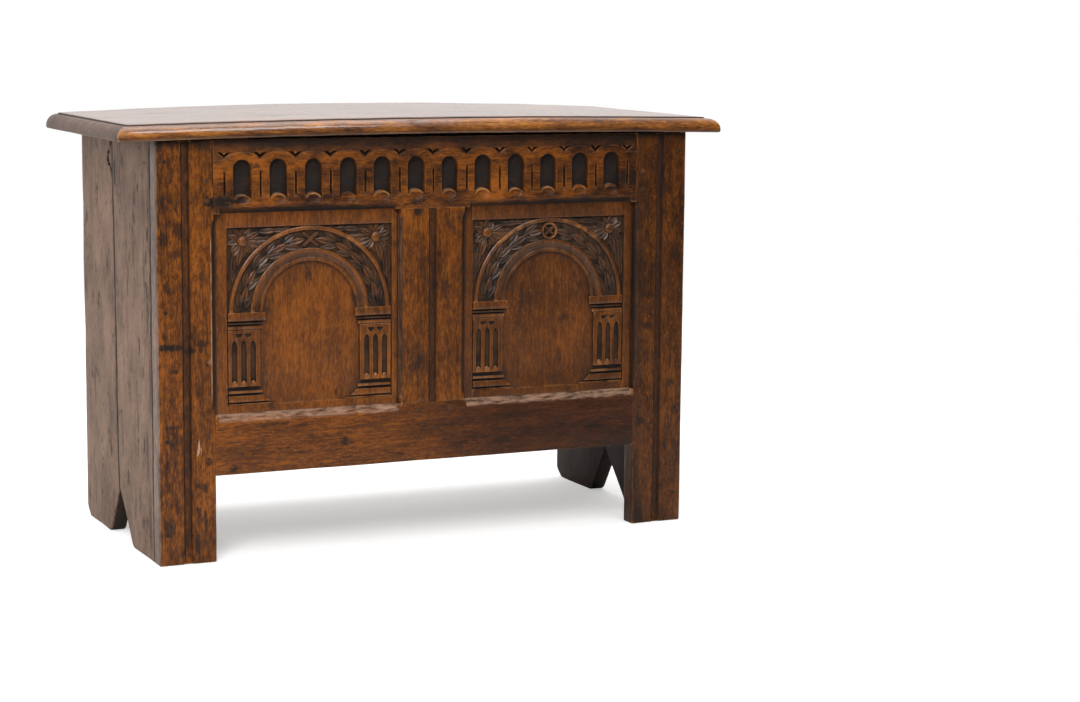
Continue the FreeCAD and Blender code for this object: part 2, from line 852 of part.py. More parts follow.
def bowed_board(where, corners_at):
    """A lid board lofted through sections that rise towards the middle of its length."""
    body = new_body(f"lid_board_{where}")
    sections = []
    for number, share in enumerate(LID_STATIONS):
        x = times(share, lid_half)
        loop = outline(*corners_at(share))
        sections.append(sketched(body, f"section_{number}", "YZ_Plane", x, [loop]))
    loft = body.newObject("PartDesign::AdditiveLoft", f"lid_{where}_loft")
    loft.Profile = sections[0]
    loft.Sections = sections[1:]
    loft.Ruled = False
    return body


def mould_end(body, word, side):
    """Works the lid's moulding across one end of a board, at the end's own level."""
    end_level = f"({underside} + {bow(1, lid_joint)})"

    def at(inwards, height):
        return times(side, f"{lid_half} - ({inwards})"), f"{end_level} + {height}"

    waste = outline(
        at("moulding_width", "lid_thickness + cut_allowance"),
        at("-cut_allowance", "lid_thickness + cut_allowance"),
        at("-cut_allowance", "(-cut_allowance)"),
        at("nose_radius", "(-cut_allowance)"),
        at("nose_radius", "0"),
        Corner(*at("0", "nose_radius"), "nose_radius", side),
        at("0", "lid_thickness - moulding_step - ovolo_radius"),
        Corner(*at("ovolo_radius", "lid_thickness - moulding_step"), "ovolo_radius", side),
        at("moulding_width", "lid_thickness - moulding_step"),
    )
    start = f"{lid_front} - cut_allowance"
    length = f"{lid_depth} + 2 * cut_allowance"
    worked("Pocket", body, f"end_{word}", "XZ_Plane", start, 1, length, waste)


def lid_dowels():
    """Dowels across the joint between the lid's two boards."""
    dowels = []
    for number, share in enumerate(LID_DOWEL_SHARES):
        x = f"{2 * share} * {lid_half}"
        z = f"{underside} + lid_thickness / 2 + {bow(2 * share, lid_joint)}"
        y = f"{lid_joint} - dowel_length / 2"
        name = f"dowel_lid_{number}"
        dowels.append(rod(name, x, y, z, TURNS["+y"], "dowel_radius", "dowel_length"))
    return group("dowels_lid", dowels)


def lid_front_board(dowels):
    def corners_at(share):
        def at(y, height):
            return y, f"{underside} + {height} + {bow(share, y)}"

        step_edge = f"({lid_front} + moulding_width)"
        return (
            at(lid_joint, "0"),
            at(lid_joint, "lid_thickness"),
            at(step_edge, "lid_thickness"),
            at(step_edge, "lid_thickness - moulding_step"),
            at(f"({lid_front} + ovolo_radius)", "lid_thickness - moulding_step"),
            Corner(
                *at(lid_front, "lid_thickness - moulding_step - ovolo_radius"),
                "ovolo_radius",
                -1,
            ),
            at(lid_front, "nose_radius"),
            Corner(*at(f"({lid_front} + nose_radius)", "0"), "nose_radius", -1),
        )

    body = bowed_board("front", corners_at)
    for word, side in SIDES.items():
        mould_end(body, word, side)
    return piece("lid_board_front", body, (dowels,))


def lid_rear_board(dowels, nails):
    def corners_at(share):
        def at(y, height):
            return y, f"{underside} + {height} + {bow(share, y)}"

        return (
            at(lid_joint, "0"),
            at(back, "0"),
            at(back, "lid_thickness"),
            at(lid_joint, "lid_thickness"),
        )

    body = bowed_board("rear", corners_at)
    for word, side in SIDES.items():
        mould_end(body, word, side)
    housings = [
        rectangle(
            times(side, f"{hinge_x} - leaf_width / 2 - joint_clearance"),
            times(side, f"{hinge_x} + leaf_width / 2 + joint_clearance"),
            f"{axis_y} - lid_leaf_length - joint_clearance",
            f"{back} + cut_allowance",
        )
        for side in SIDES.values()
    ]
    top = f"{axis_level()} + knuckle_radius + joint_clearance"
    depth = "leaf_thickness + cut_allowance"
    worked("Pocket", body, "hinge_housings", "XY_Plane", top, -1, depth, *housings)
    return piece("lid_board_rear", body, (dowels, nails))


def axis_level():
    """The height of the hinge pins: each lid leaf is let in flush with the lid's underside."""
    risen = bow(f"{hinge_x} / {lid_half}", back)
    return f"({underside} + {risen} + leaf_thickness - knuckle_radius)"


def knuckle(name, middle, length):
    start = f"{middle} - ({length}) / 2"
    return rod(name, start, axis_y, axis_level(), TURNS["+x"], "knuckle_radius", length)


def knuckle_length():
    return "(leaf_width / 3 - knuckle_gap)"


def back_leaf(word, side, pin, nails):
    """The fixed leaf: a strap down the back boards with one knuckle in the middle."""
    name = f"hinge_{word}_back_leaf"
    middle = times(side, hinge_x)
    strap_top = f"({axis_level()} - knuckle_radius - knuckle_gap)"
    strap_foot = f"({axis_level()} - back_leaf_length)"
    strap = board(
        f"{name}_strap",
        f"{middle} - leaf_width / 2",
        back,
        strap_foot,
        "leaf_width",
        "leaf_thickness",
        f"{strap_top} - {strap_foot}",
    )
    neck = board(
        f"{name}_neck",
        f"{middle} - {knuckle_length()} / 2",
        back,
        strap_foot,
        knuckle_length(),
        "leaf_thickness",
        f"{axis_level()} - {strap_foot}",
    )
    blank = fused(f"{name}_blank", strap, neck, knuckle(f"{name}_knuckle", middle, knuckle_length()))
    return piece(name, blank, (pin, nails))


def lid_leaf(word, side, bore, nails):
    """The moving leaf: a strap under the lid with a knuckle at each side."""
    name = f"hinge_{word}_lid_leaf"
    middle = times(side, hinge_x)
    low = f"({axis_level()} + knuckle_radius - leaf_thickness)"
    strap_end = f"({axis_y} - lid_leaf_length)"
    parts = [
        board(
            f"{name}_strap",
            f"{middle} - leaf_width / 2",
            strap_end,
            low,
            "leaf_width",
            "lid_leaf_length - knuckle_radius - knuckle_gap",
            "leaf_thickness",
        )
    ]
    offset = f"(leaf_width - {knuckle_length()}) / 2"
    for number, sign in enumerate(SIDES.values()):
        centre = f"{middle} + ({sign}) * {offset}"
        neck = board(
            f"{name}_neck_{number}",
            f"{centre} - {knuckle_length()} / 2",
            strap_end,
            low,
            knuckle_length(),
            "lid_leaf_length",
            "leaf_thickness",
        )
        parts += [neck, knuckle(f"{name}_knuckle_{number}", centre, knuckle_length())]
    blank = fused(f"{name}_blank", *parts)
    return piece(name, blank, (bore, nails))


def hinge_pin(word, side):
    """The pin, with a flattened head at each end."""
    name = f"hinge_{word}_pin"
    half = "(leaf_width / 2 + knuckle_gap)"
    middle = times(side, hinge_x)
    place = (axis_y, axis_level(), TURNS["+x"])
    start = f"({middle} - {half} - pin_head)"
    shank = rod(f"{name}_shank", start, *place, "pin_radius", f"2 * ({half} + pin_head)")
    heads = [
        rod(f"{name}_head_{number}", x, *place, "pin_head_radius", "pin_head")
        for number, x in enumerate((start, f"{middle} + {half}"))
    ]
    return piece(name, fused(f"{name}_blank", shank, *heads))


def hinge_nails():
    """Three clout nails in each leaf, up into the lid and forwards into the back boards."""
    into_lid, into_back = [], []
    for word, side in SIDES.items():
        x = times(side, hinge_x)
        for number, share in enumerate(LEAF_NAIL_SHARES):
            y = f"{axis_y} - {share} * lid_leaf_length"
            z = f"{axis_level()} + knuckle_radius - leaf_thickness"
            into_lid.append(nail(f"nail_lid_{word}_{number}", x, y, z, "+z", "clout_nail"))
            y = f"{back} + leaf_thickness"
            z = f"{axis_level()} - {share} * back_leaf_length"
            into_back.append(nail(f"nail_leaf_{word}_{number}", x, y, z, "-y", "clout_nail"))
    return group("nails_hinge_lid", into_lid), group("nails_hinge_back", into_back)


def hinges(lid_nail_group, back_nail_group):
    for word, side in SIDES.items():
        pin = hinge_pin(word, side)
        start = times(side, hinge_x)
        bore = rod(
            f"hinge_{word}_bore",
            f"{start} - leaf_width",
            axis_y,
            axis_level(),
            TURNS["+x"],
            "pin_radius + pin_fit",
            "2 * leaf_width",
        )
        back_leaf(word, side, pin, back_nail_group)
        lid_leaf(word, side, bore, lid_nail_group)


# ---- the chest ----------------------------------------------------------------------------------


def build():
    pegs = frame_pegs()
    backs, bottoms, strips = back_nails(), bottom_nails(), ledger_nails()
    lid_nail_group, leaf_nail_group = hinge_nails()
    for word, side in SIDES.items():
        nails = stile_nails(word, side)
        stile(word, side, pegs[word], nails)
        panel(word, side)
        end_boards(word, side, nails, backs)
    top_rail(tuple(pegs.values()))
    bottom_rail(tuple(pegs.values()), strips)
    muntin(pegs["muntin"])
    back_boards((backs, strips, leaf_nail_group))
    bottom_boards((bottoms, backs))
    ledgers((bottoms, strips))
    dowels = lid_dowels()
    lid_front_board(dowels)
    lid_rear_board(dowels, lid_nail_group)
    hinges(lid_nail_group, leaf_nail_group)


def check():
    """Stops on a failed object, a cut that removes nothing and a piece that isn't sound."""
    for thing in doc.Objects:
        faults = {"Invalid", "Error"} & set(thing.State)
        if faults:
            raise RuntimeError(f"{thing.Name}: {sorted(faults)}")
        if thing.TypeId == "PartDesign::Pocket":
            if thing.Shape.Volume >= thing.BaseFeature.Shape.Volume - 1:
                raise RuntimeError(f"{thing.Name} removes nothing")
    for label, thing in pieces.items():
        if thing.Shape.isNull() or not thing.Shape.isValid() or not thing.Shape.Solids:
            raise RuntimeError(f"{label} is not a sound solid")


def write():
    os.makedirs("parts", exist_ok=True)
    for label, thing in pieces.items():
        thing.Shape.exportStep(os.path.join("parts", f"{label}.step"))
        print(f"{label}: {len(thing.Shape.Solids)} solid(s), {thing.Shape.Volume:.0f} mm3")


build()
doc.recompute()
check()
write()
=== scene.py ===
import math
import random

import bmesh
import bpy
from mathutils import Matrix, Vector


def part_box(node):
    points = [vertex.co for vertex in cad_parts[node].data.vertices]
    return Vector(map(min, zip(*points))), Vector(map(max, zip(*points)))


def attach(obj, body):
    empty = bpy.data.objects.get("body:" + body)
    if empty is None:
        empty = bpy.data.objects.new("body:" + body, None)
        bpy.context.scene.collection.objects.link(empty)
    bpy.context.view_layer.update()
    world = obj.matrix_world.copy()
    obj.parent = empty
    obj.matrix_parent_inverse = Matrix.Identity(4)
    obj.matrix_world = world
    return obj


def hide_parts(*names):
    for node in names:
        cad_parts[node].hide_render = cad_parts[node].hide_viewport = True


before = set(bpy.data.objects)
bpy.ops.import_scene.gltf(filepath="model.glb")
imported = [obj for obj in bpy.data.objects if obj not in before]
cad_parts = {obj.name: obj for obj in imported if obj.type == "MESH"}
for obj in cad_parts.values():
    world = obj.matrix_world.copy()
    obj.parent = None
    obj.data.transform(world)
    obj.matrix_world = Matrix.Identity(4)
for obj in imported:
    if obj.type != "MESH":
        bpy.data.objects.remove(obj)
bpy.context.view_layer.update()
scene = bpy.context.scene
print("frame loaded:", len(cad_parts), "nodes")

# where the chest's parts lie, read from the frame (metres)
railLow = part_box("top_rail")[0]
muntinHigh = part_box("muntin")[1]
stileLow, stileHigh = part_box("stile_right")
lidLow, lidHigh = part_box("lid_board_front")
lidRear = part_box("lid_board_rear")[1].y
frontFace = stileLow.y
frameBack = stileHigh.y
bodyHalf = stileHigh.x
bodyTop = stileHigh.z
openingHalf = stileLow.x
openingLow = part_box("bottom_rail")[1].z
openingHigh = railLow.z


def tone(red, green, blue):
    # a colour as seen on a screen, 0 to 255, turned into the shader's own scale
    parts = [((c / 255 + 0.055) / 1.055) ** 2.4 if c > 10 else c / 3295 for c in (red, green, blue)]
    return (*parts, 1)


class Wire:
    # an output socket that can be added, multiplied and so on
    def __init__(self, tree, socket):
        self.tree = tree
        self.socket = socket

    def work(self, operation, first, second=0.0):
        return self.tree.node("ShaderNodeMath", {"operation": operation}, {0: first, 1: second})

    def __add__(self, other):
        return self.work("ADD", self, other)

    def __radd__(self, other):
        return self.work("ADD", other, self)

    def __sub__(self, other):
        return self.work("SUBTRACT", self, other)

    def __rsub__(self, other):
        return self.work("SUBTRACT", other, self)

    def __mul__(self, other):
        return self.work("MULTIPLY", self, other)

    def __rmul__(self, other):
        return self.work("MULTIPLY", other, self)

    def __truediv__(self, other):
        return self.work("DIVIDE", self, other)

    def __pow__(self, other):
        return self.work("POWER", self, other)

    def size(self):
        return self.work("ABSOLUTE", self)

    def larger(self, other):
        return self.work("MAXIMUM", self, other)

    def smaller(self, other):
        return self.work("MINIMUM", self, other)

    def rise(self, low, high):
        # 0 below low, 1 above high, smooth between; low may be the larger
        places = {"Value": self, "From Min": low, "From Max": high}
        return self.tree.node("ShaderNodeMapRange", {"interpolation_type": "SMOOTHSTEP"}, places)


class Tree:
    # the nodes of a material or of the world, and the one way that they are made
    def __init__(self, nodeTree):
        self.nodes = nodeTree.nodes
        self.links = nodeTree.links

    def node(self, kind, settings=None, inputs=None, output=0):
        made = self.nodes.new(kind)
        for word, value in (settings or {}).items():
            if word == "stops":
                ramp = made.color_ramp
                while len(ramp.elements) < len(value):
                    ramp.elements.new(0.5)
                for stop, (place, colour) in zip(ramp.elements, value):
                    stop.position = place
                    stop.color = colour
            else:
                setattr(made, word, value)
        for place, value in (inputs or {}).items():
            self.join(value, made.inputs[place])
        return Wire(self, made.outputs[output])

    def join(self, value, socket):
        if isinstance(value, Wire):
            self.links.new(value.socket, socket)
        else:
            socket.default_value = value

    def split(self, vector):
        first = self.node("ShaderNodeSeparateXYZ", {}, {0: vector})
        return [Wire(self, out) for out in first.socket.node.outputs]

    def mix(self, amount, first, second, way="MIX"):
        settings = {"data_type": "RGBA", "blend_type": way, "clamp_factor": True}
        return self.node("ShaderNodeMix", settings, {0: amount, 6: first, 7: second}, 2)

    def noise(self, x, y, z, detail=2.0, rough=0.5):
        # cloudy values from 0 to 1, finer as x, y and z are larger
        spot = self.node("ShaderNodeCombineXYZ", {}, {0: x, 1: y, 2: z})
        inputs = {"Vector": spot, "Scale": 1.0, "Detail": detail, "Roughness": rough}
        return self.node("ShaderNodeTexNoise", {}, inputs)

    def cells(self, x, y, z):
        spot = self.node("ShaderNodeCombineXYZ", {}, {0: x, 1: y, 2: z})
        return self.node("ShaderNodeTexVoronoi", {}, {"Vector": spot, "Scale": 1.0})

    def ramp(self, level, tones):
        stops = [(0.1, tones["deep"]), (0.5, tones["body"]), (0.9, tones["light"])]
        return self.node("ShaderNodeValToRGB", {"stops": stops}, {0: level})


class Finish(Tree):
    # a material; the constants are set on the shader's own sockets
    def __init__(self, name, **constants):
        self.material = bpy.data.materials.new(name)
        self.material.use_nodes = True
        super().__init__(self.material.node_tree)
        self.shader = self.nodes["Principled BSDF"]
        self.feed(**constants)

    def feed(self, **sockets):
        for word, value in sockets.items():
            self.join(value, self.shader.inputs[word.replace("_", " ")])

    def place(self):
        # the object's own x, y and z
        return self.split(self.node("ShaderNodeTexCoord", output="Object"))

    def facing(self):
        # how far the surface faces up (1) or down (-1), as the piece lies at rest
        return self.split(self.node("ShaderNodeTexCoord", output="Normal"))[2]

    def hollows(self, reach, inside=False, samples=6):
        # 1 deep in a corner or groove (or, inside, at a sharp edge), 0 in the open
        settings = {"samples": samples, "inside": inside, "only_local": True}
        return 1 - self.node("ShaderNodeAmbientOcclusion", settings, {"Distance": reach}, "AO")


def palette(**colours):
    return {word: tone(*colour) for word, colour in colours.items()}


# each wood from its dark to its light grain, then its worn edges, stains, dirt (which also serves as painted
# shade) and pale scratches (which also serve as painted highlights)
frontTones = palette(deep=(50, 27, 13), body=(103, 56, 14), light=(152, 84, 20), worn=(182, 120, 62),
                     stain=(42, 25, 14), dirt=(28, 20, 16), pale=(196, 150, 112))
# the ends' grey is dry, dusty wood, and partly a painted sheen of light at a grazing angle
endTones = palette(deep=(78, 60, 50), body=(120, 96, 80), light=(144, 118, 100), worn=(150, 130, 114),
                   stain=(62, 46, 38), dirt=(34, 27, 25), pale=(160, 136, 118))
lidTones = palette(deep=(58, 34, 20), body=(104, 64, 35), light=(140, 88, 45), worn=(188, 122, 52),
                   stain=(52, 31, 20), dirt=(30, 20, 15), pale=(190, 150, 112))
innerTones = palette(deep=(74, 56, 42), body=(118, 93, 70), light=(150, 124, 97), worn=(180, 152, 118),
                     stain=(84, 62, 44), dirt=(48, 38, 30), pale=(196, 172, 140))
pegTones = palette(deep=(28, 18, 13), body=(58, 36, 21), light=(92, 58, 32), worn=(110, 72, 42),
                   stain=(26, 18, 14), dirt=(20, 15, 12), pale=(120, 84, 54))
goldenTones = palette(deep=(52, 26, 7), body=(124, 70, 15), light=(188, 118, 36))

# the look of the oak; each wood's own call changes some of it
oakLook = {
    "gloss": 0.44,  # roughness of clean wood
    "shine": 0.3,
    "coat": 0.0,
    "polish": 0.2,  # roughness of the wax
    "bright": 1.0,
    "patches": 1.0,  # broad light and dark
    "figure": 1.0,  # the fine grain
    "mottle": 0.0,  # small light and dark spots
    "ticks": 0.5,  # short dark dashes
    "cracks": 0.0,  # long thin shakes
    "stains": 0.5,
    # how strongly dirt and painted shade darken the hollows
    "dirt": 0.85,
    "wear": 0.6,
    "relief": 1.0,
    "dusty": False,  # pale dust lies where it could be grimy
    # the next one: the hollows' darkness is dirt and painted shade
    "keepDark": 0.0,  # how far dirty hollows keep their edges dark
    "stretch": 2.2,  # how much longer than wide the patches are
    # the next two: painted shade that darkens the wood towards the right, where less light falls
    "duskFrom": None,  # from where the wood darkens towards the right, to the next colour
    "dusk": (0.3, 0.26, 0.17, 1),
    "backFace": None,  # on a front: how far back the bare inner face lies
    # the next one paints shade on an end's inner face under the chest
    "innerFrom": None,  # the distance from the middle where an end's dark inner face stops
    "seams": (),  # dirty joints in an end, each from one (front to back, up) to another
    # the next one paints shade on the sawn faces of a V cut, which lie in shadow
    "cuts": (),  # the black sawn faces of a V cut, each given as the seams are
    # the next one also holds painted highlights
    "marks": (),  # dark spots: (along the face, up, half width, half height, strength)
    "rubs": (),  # pale scratched places, given as the marks are
    # the next one paints shade beside a neighbour part
    "edges": (),  # on a front: dark lines beside a neighbour, as (place along, reach, strength)
    # the next one is wear, and a painted highlight on a bevel's edge
    "arrises": (),  # on a front: thin pale worn lines, as (place along, from height, to height)
    # the next one is dust and old wax, and a painted highlight, on what faces upwards
    "dustTop": 0.0,  # pale dust and old wax on what faces upwards
    # the next one paints shade under the lid, with some dirt
    "darkAbove": None,  # from one height to another the wood turns dark, under the lid
    "sides": None,  # on a stile: how much lighter or darker its grey outer side is
    "rim": None,  # on the lid: where its moulded edge lies
    "face": "front",  # the plane that marks are placed in: front, end or top
}


def spotted(wood, colour, look, tones, over, up, ragged):
    # dark marks (a few of them painted shade), pale rubs and painted highlights, painted shade beside a
    # neighbour, and thin pale lines of wear and painted highlight, where the look puts them
    for spots, shade, crumble in ((look["marks"], tones["dirt"], 3.4), (look["rubs"], tones["pale"], 8.0)):
        for spotOver, spotUp, halfWide, halfTall, strength in spots:
            away = (((over - spotOver) / halfWide) ** 2 + ((up - spotUp) / halfTall) ** 2) ** 0.5
            spot = 1 - (away + ragged * crumble).rise(0.5, 1.15)
            colour = wood.mix(spot * strength, colour, shade)
    # painted shade along the joint beside a neighbour
    for edgeOver, reach, strength in look["edges"]:
        away = (over - edgeOver).size() + ragged * (reach * 0.5)
        colour = wood.mix((1 - away.rise(reach * 0.4, reach)) * strength, colour, tones["dirt"])
    # thin pale lines on a bevel's edge: wear, and a painted highlight
    for edgeOver, bottom, top in look["arrises"]:
        away = (over - edgeOver).size() + ragged * 0.001
        worn = (1 - away.rise(0.0005, 0.0013)) * up.rise(bottom, bottom + 0.01) * up.rise(top, top - 0.01)
        colour = wood.mix(worn * ragged.rise(0.16, -0.06) * 0.8, colour, tones["pale"])
    return colour


def endShading(wood, colour, look, tones, x, y, z, ragged):
    # on a boarded end: painted shade on the inner face under the bottom boards, the dirty joints, and painted
    # shade on the sawn faces of the V cut
    # painted shade on the inner face under the bottom boards
    if look["innerFrom"]:
        under = (1 - x.size().rise(look["innerFrom"], look["innerFrom"] + 0.002)) * (1 - z.rise(0.13, 0.19))
        colour = wood.mix(under * 0.82, colour, tones["dirt"])

    def besideLine(start, end):
        # how far a point lies from a line across the board, front to back
        return (y - (z - start[1]) * ((end[0] - start[0]) / (end[1] - start[1])) - start[0]).size()

    for start, end in look["seams"]:
        away = besideLine(start, end) + ragged * 0.006
        colour = wood.mix((1 - away.rise(0.0022, 0.0054)) * 0.92, colour, tones["dirt"])
    # painted shade on the sawn faces of the V cut
    for start, end in look["cuts"]:
        sawn = 1 - besideLine(start, end).rise(0.003, 0.0045)
        sawn = sawn * (1 - x.size().rise(bodyHalf - 0.0036, bodyHalf - 0.0016))
        colour = wood.mix(sawn * (1 - z.rise(end[1], end[1] + 0.003)) * 0.88, colour, tones["dirt"])
    return colour


def rimShading(wood, colour, rim, tones, x, y, z, level, ragged):
    # the lid: a dry bare underside, and a moulded edge that is golden at the front and grey at the ends
    down = wood.facing().rise(-0.5, -0.85)
    colour = wood.mix(down * 0.85, colour, wood.ramp(level - 0.1, innerTones))
    golden = (0 - y).rise(rim["front"], rim["front"] + 0.003) * (1 - down)
    grey = x.size().rise(rim["end"], rim["end"] + 0.003)
    # the gold runs on round the front corners, up to the mitre and a little past it
    grey = grey * (x.size() + y + (rim["front"] - rim["end"])).rise(0.001, 0.009) * (1 - down)
    colour = wood.mix(golden * 0.85, colour, wood.ramp(level, goldenTones))
    colour = wood.mix(grey * 0.9, colour, wood.ramp(level - 0.45, endTones))
    # painted shade: the round nose turns dark towards the underside, which follows the lid's bow
    under = z - rim["low"] - (rim["rise"] - x * x * rim["curve"])
    colour = wood.mix(golden * under.rise(0.0095, 0.0015) * 0.7, colour, tone(52, 27, 10))
    # the small step above the moulding holds a black line
    inwards = (rim["end"] - x.size()).smaller(y + rim["front"]) + ragged * 0.0012
    step = (1 - (inwards + 0.001).size().rise(0.0014, 0.0032)) * (1 - down)
    colour = wood.mix(step * 0.85, colour, tones["dirt"])
    rougher = grey * 0.25 + golden * 0.1 + step * 0.4 + down * 0.35
    return colour, golden, rougher, step, (1 - grey * 0.9) * (1 - step) * (1 - down)


def oak(name, tones, grain, seed=0.0, **changes):
    look = dict(oakLook, **changes)
    wood = Finish(name, IOR=1.45, Specular_IOR_Level=look["shine"], Coat_Weight=look["coat"],
                  Coat_Roughness=look["polish"])
    x, y, z = wood.place()
    along, across, deep = {"X": (x, z, y), "Y": (y, z, x), "Z": (z, x, y)}[grain]
    along = along + seed * 1.37
    drift = wood.noise(along * 2.2, across * 9 + seed, deep * 9) - 0.5
    across = across + seed * 0.61 + drift * 0.02
    deep = deep + seed * 0.23
    # light and dark along the grain, from broad patches down to fine fibres
    wide = 13 * look["stretch"]
    patch = wood.noise(along * 13, across * wide, deep * wide, 7.0, 0.62) - 0.5
    glow = wood.noise(along * 4 + 3, across * 10, deep * 10, 2.0) - 0.5
    streak = wood.noise(along * 12, across * 230, deep * 230, 3.0, 0.6) - 0.5
    fine = wood.noise(along * 95, across * 470, deep * 470, 3.0, 0.68) - 0.5
    level = 0.5 + patch * (2.3 * look["patches"]) + glow * (0.3 + 0.6 * look["patches"])
    level = level + streak * (0.7 * look["figure"])
    level = level + fine * (1.3 * look["figure"])
    if look["mottle"]:
        level = level + (wood.noise(along * 70, across * 140, deep * 140, 4.0, 0.65) - 0.5) * look["mottle"]
    colour = wood.mix(1.0, wood.ramp(level, tones), (look["bright"],) * 3 + (1,), "MULTIPLY")
    # dark dashes, bright specks, stains and shakes
    gather = wood.noise(along * 9 + 7, across * 20, deep * 20, 3.0).rise(0.42, 0.58)
    tick = wood.noise(along * 100 + 9, across * 55 * look["stretch"] ** 2, deep * 260, 2.0).rise(0.6, 0.68)
    colour = wood.mix(tick * (0.3 + gather * 0.7) * look["ticks"], colour, tones["deep"])
    glint = wood.noise(along * 190, across * 330 + 5, deep * 330, 1.0).rise(0.64, 0.74)
    colour = wood.mix(glint * (0.4 * look["figure"]), colour, tones["light"])
    stain = wood.noise(along * 20 + 5, across * 15 * look["stretch"], deep * 34, 6.0, 0.66)
    stain = stain.rise(0.6 - look["stains"] * 0.1, 0.7 - look["stains"] * 0.1)
    colour = wood.mix(stain * 0.75, colour, tones["stain"])
    if look["cracks"]:
        line = wood.noise(along * 3.1 + 2, across * 26, deep * 26, 3.0, 0.6) - 0.5
        shake = (1 - line.size().rise(0.004, 0.022)) * gather
        colour = wood.mix(shake * look["cracks"], colour, tones["dirt"])
    # what the look puts at named places
    ragged = wood.noise(x * 90, y * 90, z * 70, 4.0, 0.65) - 0.5
    ragged = ragged * 0.6 + (wood.noise(along * 40, across * 330, deep * 330, 3.0, 0.7) - 0.5) * 0.7
    over, up = {"front": (x, z), "end": (y, z), "top": (x, y)}[look["face"]]
    colour = spotted(wood, colour, look, tones, over, up, ragged)
    # painted shade: the wood darkens towards the right, where less light falls
    if look["duskFrom"] is not None:
        dusk = x.rise(look["duskFrom"], look["duskFrom"] + 0.3)
        colour = wood.mix(dusk, colour, look["dusk"], "MULTIPLY")
    if look["backFace"]:
        back = y.rise(look["backFace"] - 0.0025, look["backFace"] - 0.0012)
        colour = wood.mix(back * 0.9, colour, wood.ramp(level, innerTones))
    colour = endShading(wood, colour, look, tones, x, y, z, ragged)
    rim = look["rim"]
    if rim:
        colour, golden, rougher, step, keepsWax = rimShading(wood, colour, rim, tones, x, y, z, level, ragged)
    if look["sides"]:
        # the outer side of a stile, grey as the boards of the end: dry wood, and partly a painted sheen
        side = x.size().rise(bodyHalf - 0.0024, bodyHalf - 0.0008)
        colour = wood.mix(side * 0.95, colour, wood.ramp(level + look["sides"], endTones))
    # dirt and painted shade in corners and cuts, and bare wood on the edges
    corner = wood.hollows(0.009).rise(0.2, 0.62)
    sunk = wood.node("ShaderNodeAttribute", {"attribute_name": "grime"}, output="Fac")
    patchy = wood.noise(along * 50, across * 90, deep * 90, 3.0) * 0.5 + 0.74
    grime = (corner * 0.75).larger(sunk * patchy) * look["dirt"]
    colour = wood.mix(grime, colour, tones["dirt"])
    # painted shade, with some dirt, at the top under the lid
    if look["darkAbove"]:
        colour = wood.mix(z.rise(*look["darkAbove"]) * 0.8, colour, tones["dirt"])
    edge = wood.hollows(0.004, inside=True, samples=4).rise(0.24, 0.56)
    rubbed = wood.noise(along * 40, across * 60, deep * 60, 3.0).rise(0.34, 0.6)
    bare = edge * rubbed * (1 - sunk.rise(0.05, 0.4) * look["keepDark"])
    if rim:
        bare = bare * (1 - step)
    colour = wood.mix(bare * look["wear"], colour, tones["worn"])
    if look["dusty"]:
        dust = wood.noise(along * 45, across * 210, deep * 210, 4.0, 0.68)
        dust = sunk.rise(0.02, 0.3) * dust.rise(0.34, 0.62)
        colour = wood.mix(dust * 0.65, colour, tone(176, 138, 112))
    # pale on what faces upwards: dust and old wax, and a painted highlight
    if look["dustTop"]:
        upwards = wood.facing().rise(0.45, 0.85)
        colour = wood.mix(upwards * rubbed * look["dustTop"], colour, tone(150, 126, 108))
    rough = look["gloss"] + grime * 0.22 + fine * 0.3 + stain * 0.1
    wax = look["coat"] * (1 - grime * 0.5)
    if rim:
        rough = rough + rougher
        wax = (wax + golden * 0.2) * keepsWax
    if look["coat"]:
        wood.feed(Coat_Weight=wax)
    dents = wood.noise(along * 90, across * 150, deep * 150, 2.0)
    height = streak * 0.6 - tick * 0.5 + fine * 0.9 + dents * 0.6 + patch * 2.0
    bump = {"Height": height, "Strength": 0.55 * look["relief"], "Distance": 0.0007}
    wood.feed(Base_Color=colour, Roughness=rough, Normal=wood.node("ShaderNodeBump", {}, bump))
    return wood.material


def iron(name):
    metal = Finish(name, IOR=1.5, Specular_IOR_Level=0.25)
    x, y, z = metal.place()
    scale = metal.noise(x * 260, y * 260, z * 260, 4.0, 0.65)
    patch = metal.noise(x * 60, y * 60, z * 60, 3.0)
    hammer = metal.cells(x * 190, y * 190, z * 190)
    rust = (scale * 0.6 + patch * 0.4).rise(0.46, 0.62)
    edge = metal.hollows(0.0016, inside=True, samples=4).rise(0.3, 0.7)
    # the corners turn dark: painted shade
    corner = metal.hollows(0.004).rise(0.2, 0.7)
    colour = metal.mix(rust * 0.8, tone(34, 25, 19), tone(62, 37, 22))
    colour = metal.mix(edge * 0.35, colour, tone(82, 62, 46))
    colour = metal.mix(corner * 0.7, colour, tone(22, 16, 12))
    height = scale * 0.5 + hammer * 0.8
    bump = metal.node("ShaderNodeBump", {}, {"Height": height, "Strength": 0.5, "Distance": 0.0005})
    metal.feed(Base_Color=colour, Metallic=0.2 - rust * 0.18, Roughness=0.66 + rust * 0.22, Normal=bump)
    return metal.material


def drop():
    bpy.ops.object.select_all(action="DESELECT")


def take(piece):
    # the piece alone is selected and active
    drop()
    piece.select_set(True)
    bpy.context.view_layer.objects.active = piece


def edit(piece):
    # opens the piece in edit mode with all of it selected
    take(piece)
    bpy.ops.object.mode_set(mode="EDIT")
    bpy.ops.mesh.select_all(action="SELECT")


def leave():
    bpy.ops.object.mode_set(mode="OBJECT")


def named(name):
    # names the active piece and puts its place into its mesh
    piece = bpy.context.object
    piece.name = name
    piece.data.name = name
    bpy.ops.object.transform_apply(location=True, rotation=True, scale=True)
    return piece


